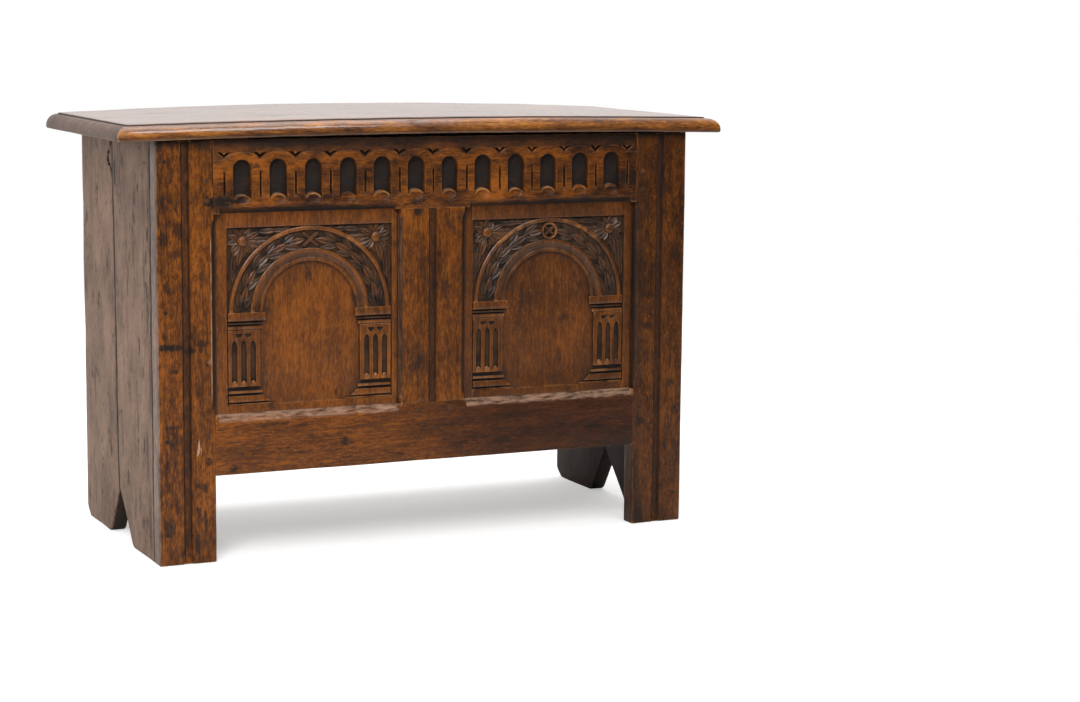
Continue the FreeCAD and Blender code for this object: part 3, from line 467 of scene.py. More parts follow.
def closed(name):
    # finishes a shell in edit mode: all its faces point outwards
    bpy.ops.mesh.select_all(action="SELECT")
    bpy.ops.mesh.normals_make_consistent(inside=False)
    leave()
    return named(name)


def block(name, low, high):
    # a squared block between two corners
    drop()
    middle = [(a + b) / 2 for a, b in zip(low, high)]
    size = [b - a for a, b in zip(low, high)]
    bpy.ops.mesh.primitive_cube_add(size=1, location=middle, scale=size)
    return named(name)


def pick(piece, mode, test):
    # in edit mode, selects the points or faces whose middle passes the test
    bpy.ops.mesh.select_mode(type=mode)
    bpy.ops.mesh.select_all(action="DESELECT")
    shape = bmesh.from_edit_mesh(piece.data)
    if mode == "VERT":
        for point in shape.verts:
            point.select = bool(test(point.co))
    else:
        for face in shape.faces:
            face.select = bool(test(face.calc_center_median()))
    shape.select_flush_mode()
    bmesh.update_edit_mesh(piece.data)


def cutLines(piece, axis, places, test=None):
    # cuts a line of edges round the piece at each place along an axis (0, 1 or 2)
    edit(piece)
    across = [0, 0, 0]
    across[axis] = 1
    for place in places:
        point = [0, 0, 0]
        point[axis] = place
        if test:
            pick(piece, "FACE", test)
        else:
            bpy.ops.mesh.select_all(action="SELECT")
        bpy.ops.mesh.bisect(plane_co=point, plane_no=across)
    leave()


def shift(piece, test, by):
    # moves the points that pass the test
    edit(piece)
    pick(piece, "VERT", test)
    bpy.ops.transform.translate(value=by)
    leave()


def drawn(points):
    # a closed outline drawn point by point and filled; it stays open in edit mode
    drop()
    bpy.ops.mesh.primitive_plane_add(size=0.01)
    edit(bpy.context.object)
    bpy.ops.mesh.merge(type="CENTER")
    bpy.ops.transform.translate(value=points[0])
    for before, after in zip(points, points[1:]):
        step = Vector(after) - Vector(before)
        bpy.ops.mesh.extrude_vertices_move(TRANSFORM_OT_translate={"value": step})
    bpy.ops.mesh.select_all(action="SELECT")
    bpy.ops.mesh.edge_face_add()


def outlined(name, corners, through):
    # a closed outline that is given its thickness
    drawn(corners)
    bpy.ops.mesh.extrude_region_move(TRANSFORM_OT_translate={"value": through})
    return closed(name)


def arc(middle, radius, start, end, steps, lift=None):
    # points (x, z) along an arc, the angles in degrees from +x towards +z
    turns = [math.radians(start + (end - start) * n / steps) for n in range(steps + 1)]
    tall = lift or radius
    return [(middle[0] + radius * math.cos(a), middle[1] + tall * math.sin(a)) for a in turns]


def onFront(points, y):
    # (x, z) points as they lie in a plane of the front, y deep
    return [(x, y, z) for x, z in points]


def modify(piece, kind, **settings):
    take(piece)
    made = piece.modifiers.new(kind.lower(), kind)
    for word, value in settings.items():
        setattr(made, word, value)
    bpy.ops.object.modifier_apply(modifier=made.name)


def carve(piece, cutters):
    # cuts the cutters out of the piece, and takes them away
    tool = joined("cutter", cutters)
    modify(piece, "BOOLEAN", operation="DIFFERENCE", solver="MANIFOLD", object=tool)
    bpy.data.objects.remove(tool)


def joined(name, parts):
    # many pieces made one
    take(parts[0])
    for part in parts:
        part.select_set(True)
    if len(parts) > 1:
        bpy.ops.object.join()
    return named(name)


def camel(node):
    # a node's name as a piece's name: back_board_lower becomes backBoardLower
    first, *rest = node.split("_")
    return first + "".join(word.title() for word in rest)


def copied(piece, turn):
    # another of the same, with a mesh of its own, moved and turned by a matrix
    other = piece.copy()
    other.data = piece.data.copy()
    other.data.transform(turn)
    scene.collection.objects.link(other)
    return other


def soften(piece, width, segments=2, angle=35):
    modify(piece, "BEVEL", width=width, segments=segments, limit_method="ANGLE",
           angle_limit=math.radians(angle), use_clamp_overlap=False, profile=0.55)


unevenness = bpy.data.textures.new("unevenness", "CLOUDS")
unevenness.noise_scale = 0.055
unevenness.cloud_type = "COLOR"
unevenness.noise_depth = 2


def wobble(piece, strength):
    # the slight waver of hand-planed and much-used wood
    modify(piece, "DISPLACE", texture=unevenness, texture_coords="LOCAL", strength=strength,
           mid_level=0.5, direction="RGB_TO_XYZ")


def share(value, start, length):
    # 0 at the start, 1 at the end of a length, and no less or more beyond
    return min(1.0, max(0.0, (value - start) / length))


def settleGrimeAndShade(piece, clean, full, back=1.0, above=-1.0):
    # dirt and painted shade lie in what is cut below the surface: none at the depth clean, all at the depth
    # full
    marks = piece.data.attributes.new("grime", "FLOAT", "POINT")
    for point, mark in zip(piece.data.vertices, marks.data):
        if point.co.y < back and point.co.z > above:
            mark.value = share(point.co.y, clean, full - clean)


def smooth(piece, angle=38):
    take(piece)
    bpy.ops.object.shade_smooth_by_angle(angle=math.radians(angle))


def place(piece, body, slot, finish, *nodes):
    # the finished piece takes its finish and its body, and the CAD nodes' place; the slot is not used
    piece.data.materials.clear()
    piece.data.materials.append(finish)
    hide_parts(*nodes)
    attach(piece, body)


def between(low, high, spacing, jitter, dice):
    # places between low and high, about evenly spaced
    count = max(1, round((high - low) / spacing))
    step = (high - low) / count
    return [low + step * n + dice.uniform(-jitter, jitter) * step for n in range(1, count)]


# the uprights and rails of the front
upright = {
    "channelFrom": 0.036,
    "channelWidth": 0.0135,
    "wallLeft": 0.0014,
    "wallRight": 0.0022,
    "channelDepth": 0.0034,
    "channelFloor": 0.0022,
    "bevel": 0.005,
    "bevelStop": 0.014,
    "bevelEnd": 0.006,
    "lineSpacing": 0.034,
    "edgeWear": 0.0014,
    "waver": 0.0013,
}


def groove(piece, start, values):
    # a scratched channel down the whole front of an upright: a deep line each side of a raised floor
    left, right = values["wallLeft"], values["wallRight"]
    end = start + values["channelWidth"]
    lines = [start, start + left, start + left * 2, end - right * 2, end - right, end]
    cutLines(piece, 0, lines, lambda c: c.y < frontFace + 0.002)
    near = frontFace + 0.0016

    def inFloor(p):
        return start + left * 1.6 < p.x < end - right * 1.6 and p.y < near

    def inLines(p):
        return not inFloor(p) and start + left * 0.6 < p.x < end - right * 0.6 and p.y < near

    shift(piece, inLines, (0, values["channelDepth"], 0))
    shift(piece, inFloor, (0, values["channelFloor"], 0))


def bevelSide(piece, edge, inwards, values):
    # the bevel beside a panel, stopped above and below
    cutLines(piece, 0, [edge + inwards * values["bevel"]])
    low, high = openingLow + values["bevelStop"], openingHigh - values["bevelStop"]
    cutLines(piece, 2, [low - values["bevelEnd"], low, high, high + values["bevelEnd"]])

    def onEdge(p):
        return abs(p.x - edge) < 0.0004 and p.y < frontFace + 0.0005 and low - 0.0005 < p.z < high + 0.0005

    shift(piece, onEdge, (0, values["bevel"], 0))


# what years of use left on each stile: a burnt line across, dark knots, knocks and scratches,
# each mark as (along, up, half width, half height, strength)
stileWear = {
    "left": {
        "bright": 0.9,
        "patches": 0.42,
        "mottle": 1.25,
        "stains": 0.2,
        "ticks": 0.7,
        "cracks": 0.7,
        "marks": [
            (-0.403, 0.3145, 0.022, 0.0058, 1.0), (-0.408, 0.3155, 0.011, 0.005, 1.0),
            (-0.37, 0.309, 0.014, 0.005, 0.9), (-0.3555, 0.318, 0.012, 0.006, 0.75),
            (-0.4068, 0.3976, 0.006, 0.009, 0.7), (-0.4102, 0.33, 0.005, 0.008, 0.8),
            (-0.3951, 0.2803, 0.009, 0.004, 0.85),
            (-0.4105, 0.4683, 0.006, 0.012, 0.75), (-0.3883, 0.4817, 0.009, 0.01, 0.7),
            (-0.3974, 0.4467, 0.011, 0.006, 0.55), (-0.341, 0.5185, 0.01, 0.009, 1.0),
            (-0.3464, 0.1457, 0.0055, 0.0055, 0.8), (-0.3622, 0.1134, 0.006, 0.004, 0.8),
            (-0.3528, 0.1098, 0.004, 0.007, 0.75), (-0.3475, 0.289, 0.005, 0.006, 0.85),
            (-0.362, 0.252, 0.01, 0.012, 0.6), (-0.408, 0.055, 0.01, 0.016, 0.7),
            (-0.398, 0.2, 0.014, 0.003, 0.6), (-0.354, 0.42, 0.006, 0.018, 0.5),
            (-0.35, 0.598, 0.014, 0.007, 0.6), (-0.415, 0.599, 0.006, 0.007, 0.7),
        ],
        "rubs": [(-0.361, 0.169, 0.0009, 0.007, 0.8), (-0.3578, 0.164, 0.0008, 0.006, 0.8),
                 (-0.3628, 0.161, 0.0008, 0.005, 0.7), (-0.344, 0.2905, 0.003, 0.003, 0.3)],
        "arrises": [(-0.3405, 0.232, 0.487)],
    },
    "right": {
        "patches": 0.6,
        "mottle": 1.0,
        "stains": 0.3,
        "ticks": 0.6,
        "cracks": 0.6,
        # painted shade: the right stile is darker, as less light falls on the right
        "bright": 0.46,
        # painted shade beside the right panel
        "edges": [(0.336, 0.022, 0.4)],
        "marks": [
            (0.3481, 0.1629, 0.008, 0.006, 0.8), (0.403, 0.42, 0.008, 0.014, 0.7),
            (0.356, 0.31, 0.01, 0.005, 0.7), (0.4, 0.22, 0.009, 0.006, 0.7),
        ],
    },
}


def stile(word, side):
    dice = random.Random(word)
    values = upright
    low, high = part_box("stile_" + word)
    piece = block("stile" + word.title(), low, high)
    start = side * (bodyHalf - values["channelFrom"]) - (values["channelWidth"] if side > 0 else 0)
    bevelSide(piece, side * openingHalf, side, values)
    cutLines(piece, 2, between(low.z, high.z, values["lineSpacing"], 0.25, dice))
    cutLines(piece, 1, [frontFace + 0.009, frontFace + 0.018])
    soften(piece, values["edgeWear"], 3)
    groove(piece, start, values)
    settleGrimeAndShade(piece, frontFace + 0.0006, frontFace + 0.0029, frontFace + 0.0066, low.z + 0.012)
    wobble(piece, values["waver"])
    smooth(piece)
    finish = oak("oakStile" + word.title(), frontTones, "Z", seed=1.0 + side, darkAbove=(0.594, 0.606),
                 sides=-0.15, wear=0.75, backFace=frameBack, **stileWear[word])
    place(piece, "carcase", "front_oak", finish, "stile_" + word)


def muntin():
    dice = random.Random("muntin")
    values = upright
    low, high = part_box("muntin")
    low.z, high.z = openingLow, openingHigh
    piece = block("muntinBar", low, high)
    for side in (-1, 1):
        bevelSide(piece, side * high.x, -side, values)
    cutLines(piece, 2, between(low.z, high.z, values["lineSpacing"], 0.25, dice))
    soften(piece, 0.0008)
    groove(piece, -values["channelWidth"] / 2, values)
    settleGrimeAndShade(piece, frontFace + 0.0006, frontFace + 0.0029, frontFace + 0.0066)
    wobble(piece, values["waver"])
    smooth(piece)
    marks = [(-0.0244, 0.5, 0.01, 0.008, 0.85), (0.02, 0.38, 0.008, 0.014, 0.6),
             (-0.026, 0.27, 0.007, 0.016, 0.6)]
    finish = oak("oakMuntin", frontTones, "Z", seed=4.3, stains=0.1, bright=0.74, wear=0.75, patches=0.5,
                 mottle=1.0, marks=marks, arrises=[(-0.05, 0.218, 0.495)], backFace=frameBack)
    place(piece, "carcase", "front_oak", finish, "muntin")


arcade = {
    "count": 12,
    "pitch": 0.0532,
    "halfWidth": 0.0135,
    "foot": 0.019,
    "springDrop": 0.041,
    "depth": 0.009,
    "draft": 0.93,
    "tongueRise": 0.008,
    "slotWidth": 0.0042,
    "slotDrop": 0.042,
    "slotDepth": 0.0052,
    "scoopSize": (0.0108, 0.003, 0.0078),
    "scoopTilt": -0.26,
    "scoopDrop": 0.0012,
    "nickPoint": 0.0285,
    "nickTop": 0.0168,
    "nickHalf": 0.0135,
    "nickDepth": 0.007,
    "scallopTop": 0.0178,
    "scallopDepth": 0.0012,
    "scallopSteps": 12,
    "scallopCurve": 2.6,
    "slopeHeight": 0.0095,
    "slopeDepth": 0.012,
    "slopeStop": 0.012,
    "slopeSpacing": 0.011,
    "edgeWear": 0.0006,
    "waver": 0.0009,
}


def taperedCutter(name, points, depth, draft, towards):
    # an outline on the front's face, sunk to a depth and narrowed towards a point there
    piece = outlined(name, onFront(points, frontFace - 0.002), (0, depth + 0.002, 0))
    edit(piece)
    pick(piece, "VERT", lambda p: p.y > frontFace)
    middle = (towards[0], frontFace + depth, towards[1])
    bpy.ops.transform.resize(value=(draft, 1, draft), center_override=middle)
    leave()
    return piece


def nicheCutter(x, dice):
    values = arcade
    half = values["halfWidth"] * dice.uniform(0.96, 1.03)
    foot = railLow.z + values["foot"] + dice.uniform(-0.0006, 0.0006)
    spring = bodyTop - values["springDrop"]
    rise = values["tongueRise"] * dice.uniform(0.9, 1.1)
    radius = (half ** 2 + rise ** 2) / (2 * rise)
    turn = math.degrees(math.asin(half / radius))
    points = arc((x, spring), half, 0, 180, 14, half * dice.uniform(0.98, 1.05))
    points += arc((x, foot + rise - radius), radius, 90 + turn, 90 - turn, 8)
    return taperedCutter("niche", points, values["depth"], values["draft"], (x, (foot + spring) / 2))


def scoopCutter(x, dice):
    # the hollow thumb mark under each niche
    drop()
    high = railLow.z + arcade["foot"] - arcade["scoopDrop"]
    spot = (x + dice.uniform(-0.0007, 0.0007), frontFace - 0.0008, high)
    bpy.ops.mesh.primitive_uv_sphere_add(segments=24, ring_count=12, radius=1, location=spot,
                                         scale=arcade["scoopSize"], rotation=(arcade["scoopTilt"], 0, 0))
    return named("scoop")


def slotCutter(x, dice):
    values = arcade
    half = values["slotWidth"] / 2 * dice.uniform(0.85, 1.15)
    low = railLow.z + values["foot"] + dice.uniform(-0.001, 0.001)
    high = bodyTop - values["slotDrop"] + dice.uniform(-0.002, 0.002)
    points = [(x - half, low), (x, low - 0.0012), (x + half, low), (x + half * 0.9, high - 0.001),
              (x, high + 0.0022), (x - half * 0.9, high - 0.001)]
    return taperedCutter("slot", points, values["slotDepth"], 0.55, (x, (low + high) / 2))


def nickCutter(x, dice):
    # two wings that meet in a point, as the gouge leaves them between two arches
    values = arcade
    low = bodyTop - values["nickPoint"] + dice.uniform(-0.0008, 0.0008)
    high = bodyTop - values["nickTop"] + dice.uniform(-0.0005, 0.0005)
    half = values["nickHalf"] * dice.uniform(0.9, 1.08)
    wing = [(0.14, 0.16), (0.42, 0.52), (0.72, 0.8), (1.0, 0.98), (0.62, 1.16), (0.25, 0.98)]
    right = [(x + half * u, low + (high - low) * v) for u, v in wing]
    left = [(2 * x - px, pz) for px, pz in reversed(right)]
    points = [(x, low - 0.0008)] + right + [(x, low + (high - low) * 0.7)] + left
    return taperedCutter("nick", points, values["nickDepth"], 0.42, (x, low + 0.003))


def scallopCutter(first):
    # the strip above the arches, cut back to a line that dips into each nick
    values = arcade
    half = values["pitch"] / 2
    low, high = bodyTop - values["nickPoint"], bodyTop - values["scallopTop"]
    points = [(-openingHalf - 0.004, low)]
    for n in range(values["count"]):
        x = first + n * values["pitch"]
        for m in range(values["scallopSteps"]):
            u = 2 * m / values["scallopSteps"] - 1
            points.append((x + u * half, low + (high - low) * (1 - abs(u) ** values["scallopCurve"])))
    points += [(-first + half, low), (openingHalf + 0.004, low), (openingHalf + 0.004, bodyTop + 0.004),
               (-openingHalf - 0.004, bodyTop + 0.004)]
    return outlined("scallops", onFront(points, frontFace - 0.003), (0, 0.003 + values["scallopDepth"], 0))


def slope(piece, low, high, level, height, values, dice):
    # a sloping ledge along a rail beside each panel; the rail's own edge is ragged with age
    front = frontFace + 0.0005
    for side in (-1, 1):
        stop = values["slopeStop"]
        start, end = sorted((side * (muntinHigh.x + stop), side * (openingHalf - stop)))
        margin = 0.004
        lines = [start - margin, start, end, end + margin]
        lines += between(start, end, values["slopeSpacing"], 0.3, dice)
        cutLines(piece, 0, lines, lambda c: low - 0.001 < c.z < high + 0.001)

        def onEdge(p):
            return abs(p.z - level) < 0.0003 and p.y < front and start - 0.0003 < p.x < end + 0.0003

        shift(piece, onEdge, (0, values["slopeDepth"], 0))
    line = level + height
    for point in piece.data.vertices:
        if abs(point.co.z - line) < 0.0003 and point.co.y < front and abs(point.co.x) > muntinHigh.x:
            point.co.z += dice.uniform(-0.0011, 0.0011)


def topRail():
    dice = random.Random("arcade")
    values = arcade
    low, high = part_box("top_rail")
    low.x, high.x = -openingHalf, openingHalf
    piece = block("topRail", low, high)
    line = low.z + values["slopeHeight"]
    cutLines(piece, 2, [line])
    slope(piece, low.z, line, low.z, values["slopeHeight"], values, dice)
    first = -(values["count"] - 1) / 2 * values["pitch"]
    middles = [first + n * values["pitch"] for n in range(values["count"])]
    carve(piece, [scallopCutter(first)])
    places = [x + dice.uniform(-0.0006, 0.0006) for x in middles]
    for x in places:
        carve(piece, [nicheCutter(x, dice)])
    # the niches' edges are worn round; the knife cuts between them stay crisp
    soften(piece, values["edgeWear"])
    for x in places:
        carve(piece, [scoopCutter(x, dice)])
    for n in range(values["count"] + 1):
        x = first + (n - 0.5) * values["pitch"] + dice.uniform(-0.0005, 0.0005)
        carve(piece, [slotCutter(x, dice)])
        carve(piece, [nickCutter(x, dice)])
    settleGrimeAndShade(piece, frontFace + 0.0026, frontFace + 0.0048, frontFace + 0.013)
    # the strip that is cut back above the arches gets dirt and painted shade too, under the lid
    for point, mark in zip(piece.data.vertices, piece.data.attributes["grime"].data):
        if frontFace + 0.0007 < point.co.y < frontFace + 0.004 and point.co.z > bodyTop - values["nickPoint"]:
            mark.value = max(mark.value, 0.4)
    wobble(piece, values["waver"])
    smooth(piece)
    # the last two marks are painted shade on the sloping lower edge above each panel
    marks = [(-0.322, 0.519, 0.022, 0.009, 1.0), (-0.301, 0.5195, 0.018, 0.0055, 0.95),
             (-0.0244, 0.513, 0.014, 0.006, 0.85), (0.14, 0.5135, 0.02, 0.003, 0.6),
             (-0.1935, 0.5045, 0.16, 0.0052, 0.9), (0.1935, 0.5045, 0.16, 0.0052, 0.9)]
    finish = oak("oakTopRail", frontTones, "X", seed=7.7, stains=0.45, darkAbove=(0.588, 0.604), bright=0.84,
                 wear=0.8, dirt=1.0, marks=marks, dustTop=0.3, mottle=0.7, duskFrom=0.08,
                 dusk=(0.6, 0.56, 0.5, 1), backFace=frameBack)
    place(piece, "carcase", "front_oak", finish, "top_rail")


ledge = {
    "height": 0.012,
    "slopeDepth": 0.012,
    "slopeStop": 0.006,
    "slopeSpacing": 0.008,
    "edgeWear": 0.0009,
    "waver": 0.0013,
}


def bottomRail():
    dice = random.Random("ledge")
    values = ledge
    low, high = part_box("bottom_rail")
    low.x, high.x = -openingHalf, openingHalf
    piece = block("bottomRail", low, high)
    line = high.z - values["height"]
    cutLines(piece, 2, [low.z + 0.03, low.z + 0.055, line])
    slope(piece, line, high.z, high.z, -values["height"], values, dice)
    cutLines(piece, 0, between(low.x, high.x, 0.03, 0.3, dice), lambda c: c.z < line)
    soften(piece, values["edgeWear"])
    marks = [(-0.139, 0.1649, 0.009, 0.007, 0.9), (-0.3077, 0.1341, 0.008, 0.005, 0.85),
             (-0.2088, 0.152, 0.02, 0.0025, 0.6), (0.1103, 0.1477, 0.018, 0.004, 0.6),
             (0.2107, 0.1663, 0.012, 0.003, 0.7), (-0.25, 0.196, 0.03, 0.004, 0.6)]
    rubs = []
    for leftEnd, rightEnd, middle in ((-0.318, -0.075, -0.2), (0.07, 0.315, 0.2)):
        # each ledge gets painted highlights at both ends and along its upper edge
        rubs += [(leftEnd, 0.212, 0.018, 0.0016, 0.8), (rightEnd, 0.2105, 0.018, 0.0034, 0.8),
                 (middle, 0.2123, 0.12, 0.0014, 0.5)]
    settleGrimeAndShade(piece, frontFace + 0.001, frontFace + 0.006, frontFace + 0.0135, line - 0.001)
    finish = oak("oakBottomRail", frontTones, "X", seed=9.1, stains=0.1, bright=0.92, wear=0.6, stretch=4.5,
                 patches=0.42, ticks=0.35, duskFrom=-0.14, marks=marks, rubs=rubs, dusty=True,
                 backFace=frameBack)
    wobble(piece, values["waver"])
    smooth(piece)
    place(piece, "carcase", "front_oak", finish, "bottom_rail")


for word, side in (("left", -1), ("right", 1)):
    stile(word, side)
muntin()
topRail()
bottomRail()
print("front frame made")


# the two carved panels: outlines as seen from the front, depths behind its face
carving = {
    "shift": {"left": 0.0061, "right": 0.0021},  # how far the arch stands off the middle
    # the right panel is darker by painted shade, as less light falls on the right
    "bright": {"left": 0.98, "right": 0.66},
    "gridLines": (40, 44),
    "half": 0.1265,
    "head": 0.021,
    "foot": 0.011,
    "spring": 0.3575,
    "outer": 0.123,
    "bandOuter": 0.1165,
    "bandInner": 0.0905,
    "rollInner": 0.0845,
    "coveInner": 0.077,
    "step": 0.0715,
    "groundDepth": 0.0042,
    "bandDepth": 0.0034,
    "fieldDepth": 0.005,
    "arcSteps": 56,
    "bossRadius": 0.0078,
    "bossOut": 0.83,
    "bossUp": 0.84,
    "waver": 0.0007,
}


# one laurel leaf: it is a unit long, and at most a unit wide and high
leafForm = {
    "along": 8,  # its points along and across
    "across": 4,
    "foot": 0.08,  # its width at the foot, and at the tip
    "tip": 0.03,
    "start": 0.04,  # how far along the curve of its outline the foot lies
    "fullness": 0.8,  # below 1 it is widest nearer to its foot
    "low": 0.62,  # the blade's height at both ends
    "midrib": 0.02,  # how high the midrib and the rim are beside the blade
    "rim": 0.3,
    "underside": -0.25,
}


def leafShape():
    # its foot is at the origin and its tip on +x, with the blade raised on both sides of a sunk midrib
    form = leafForm
    drop()
    bpy.ops.mesh.primitive_grid_add(x_subdivisions=form["along"], y_subdivisions=form["across"], size=1,
                                    location=(0.5, 0, 0))
    piece = named("leaf")
    edit(piece)
    for n in range(form["along"] + 1):
        t = n / form["along"]
        swell = math.sin(math.pi * (form["start"] + t * (1 - form["start"])) ** form["fullness"])
        width = form["foot"] + (1 - form["foot"]) * swell if n < form["along"] else form["tip"]
        pick(piece, "VERT", lambda p: abs(p.x - t) < 0.01)
        bpy.ops.transform.resize(value=(1, width, 1), center_override=(t, 0, 0))
        height = form["low"] + (1 - form["low"]) * math.sin(math.pi * t)
        # the blade, the midrib and the rim: between which distances from the middle each lies, and its height
        for near, far, level in ((0.02, 0.02 + width * 0.3, 1), (-1, 0.01, form["midrib"]),
                                 (width * 0.4, 1, form["rim"])):
            pick(piece, "VERT", lambda p: abs(p.x - t) < 0.01 and near < abs(p.y) < far)
            bpy.ops.transform.translate(value=(0, 0, height * level))
    bpy.ops.mesh.select_all(action="SELECT")
    bpy.ops.mesh.extrude_region_move(TRANSFORM_OT_translate={"value": (0, 0, -1)})
    pick(piece, "VERT", lambda p: p.z < 0.001)
    bpy.ops.transform.resize(value=(1, 1, 0), center_override=(0, 0, form["underside"]))
    piece = closed("leaf")
    modify(piece, "SUBSURF", levels=1, render_levels=1)
    return piece


leaf = leafShape()


def leafAt(foot, angle, length, width, height, depth, tilt=0.0):
    # a leaf on the panel: its foot (x, z), its way in degrees from +x towards +z, and its ground's depth
    a = math.radians(angle)
    way = Vector((math.cos(a), 0, math.sin(a)))
    out = Vector((0, -1, 0))
    side = out.cross(way)
    turn = Matrix((way, side, out)).transposed().to_4x4()
    lean = Matrix.Rotation(-math.radians(tilt), 4, "Y")
    grow = Matrix.Diagonal((length, width, height, 1))
    spot = Matrix.Translation((foot[0], depth, foot[1]))
    return copied(leaf, spot @ turn @ lean @ grow)


def ringSolid(name, middle, profile, steps):
    # a moulding spun over the arch: profile points are (radius, depth)
    drawn([(middle[0] + r, y, middle[1]) for r, y in profile])
    bpy.ops.mesh.spin(steps=steps, angle=math.pi, center=(middle[0], 0, middle[1]), axis=(0, 1, 0))
    bpy.ops.mesh.select_all(action="SELECT")
    bpy.ops.mesh.remove_doubles(threshold=0.00001)
    return closed(name)


def bar(name, left, right, low, high, near, far, worn):
    piece = block(name, (left, near, low), (right, far, high))
    soften(piece, worn)
    return piece


column = {
    "side": 0.0768,  # from the arch's middle to a pilaster's inner side
    "gap": 0.0016,  # the dark line between a pilaster and the border
    "fluteFirst": 0.0107,
    "flutePitch": 0.014,
    "fluteHalf": 0.0042,
    "fluteFoot": 0.0345,
    "fluteHead": 0.094,
    "fluteDepth": 0.0046,
    "shaftFoot": 0.0268,
    "shaftHead": 0.0244,
    "lunetteHalf": 0.005,
    "tongue": 0.0038,
    "tongueDepth": 0.003,
    "lunetteRise": 0.0062,
    "lunetteDepth": 0.0032,
}


def pilaster(inner, outer, front, values):
    # a fluted pilaster with its capital's bars and its stepped base; inner is the side next to the field
    way = 1 if outer > inner else -1
    near, far = front, front + values["fieldDepth"] + 0.001
    spring = values["spring"]
    low, high = openingLow + values["foot"], spring - column["shaftHead"]
    outer = outer - way * column["gap"]
    left, right = sorted((inner, outer))
    shaft = block("shaft", (left, near + 0.0006, low + column["shaftFoot"]), (right, far, high))
    cutters = []
    half = column["fluteHalf"]
    foot, head = low + column["fluteFoot"], low + column["fluteHead"]
    for n in range(3):
        x = inner + way * (column["fluteFirst"] + n * column["flutePitch"])
        points = [(x - half, foot)] + arc((x, foot), half, 180, 360, 6)[1:-1] + [(x + half, foot)]
        points += [(x + half, head - 0.009), (x + half * 0.8, head - 0.004), (x, head + 0.001),
                   (x - half * 0.8, head - 0.004), (x - half, head - 0.009)]
        cutters.append(outlined("flute", onFront(points, near - 0.002), (0, column["fluteDepth"] + 0.002, 0)))
    for n in range(2):
        x = inner + way * (column["fluteFirst"] + (n + 0.5) * column["flutePitch"])
        points = arc((x, high - 0.005), column["lunetteHalf"], 0, -180, 8, column["lunetteRise"])
        through = (0, column["lunetteDepth"] + 0.002, 0)
        cutters.append(outlined("lunette", onFront(points, near - 0.002), through))
    carve(shaft, cutters)
    soften(shaft, 0.0004, 1)
    parts = [shaft]
    for n in range(3):
        # the rounded tongue at a flute's foot
        x = inner + way * (column["fluteFirst"] + n * column["flutePitch"])
        drop()
        size = (column["tongue"], column["tongueDepth"], column["tongue"])
        spot = (x, near + 0.0022, low + column["fluteFoot"] - 0.0022)
        bpy.ops.mesh.primitive_uv_sphere_add(segments=14, ring_count=8, radius=1, scale=size, location=spot)
        parts.append(named("tongue"))
    # bars: how far past the shaft's inner side, their low and high levels and how far they stand back
    bars = [
        (0.0082, spring - 0.0112, spring + 0.0006, 0.0),
        (0.0052, spring - 0.0166, spring - 0.0142, 0.0024),
        (0.003, spring - 0.0236, spring - 0.0192, 0.0008),
        (0.0034, low + 0.017, low + 0.0208, 0.0012),
        (0.024, low + 0.0004, low + 0.002, 0.001),
    ]
    for past, barLow, barHigh, back in bars:
        barLeft, barRight = sorted((inner - way * past, outer))
        parts.append(bar("bar", barLeft, barRight, barLow, barHigh, near + back, far, 0.0007))
    # the base's broad bar, which spreads towards its foot
    points = [(inner - way * 0.015, low + 0.0046), (outer, low + 0.0046), (outer, low + 0.0134),
              (inner - way * 0.005, low + 0.0134), (inner - way * 0.0082, low + 0.01)]
    base = outlined("base", onFront(points, near), (0, far - near, 0))
    soften(base, 0.0008)
    parts.append(base)
    return parts


corner = {
    # leaves round the boss: their way in degrees from the head line, their length and their width
    "spray": [(2, 0.04, 0.0095), (-16, 0.031, 0.0105), (-36, 0.021, 0.0095), (-58, 0.0165, 0.009),
              (-84, 0.0195, 0.0095), (-104, 0.033, 0.0105), (-122, 0.023, 0.0095), (26, 0.023, 0.0085),
              (58, 0.0145, 0.0085), (92, 0.0135, 0.0085), (126, 0.0155, 0.0085), (158, 0.0165, 0.009),
              (190, 0.0165, 0.009), (217, 0.019, 0.009)],
    "sprayWidth": 1.15,
    "sprayHeights": (0.0039, 0.0046),
    # leaves in the long corners: how far inwards and up from the boss, their way, length and width
    "fill": [(0.024, 0.0125, 3, 0.031, 0.0085), (0.029, 0.0035, -20, 0.022, 0.0085),
             (0.043, 0.0135, 1, 0.026, 0.0065), (0.047, 0.0065, -14, 0.017, 0.006),
             (0.059, 0.0155, 0, 0.022, 0.0042), (-0.0125, -0.02, -96, 0.03, 0.009),
             (-0.0205, -0.03, -88, 0.026, 0.0075), (-0.0125, -0.04, -102, 0.023, 0.0075),
             (-0.0205, -0.051, -92, 0.024, 0.006), (-0.0228, -0.069, -92, 0.021, 0.004)],
    "fillWidth": 1.2,
    "fillHeight": 0.0036,
}


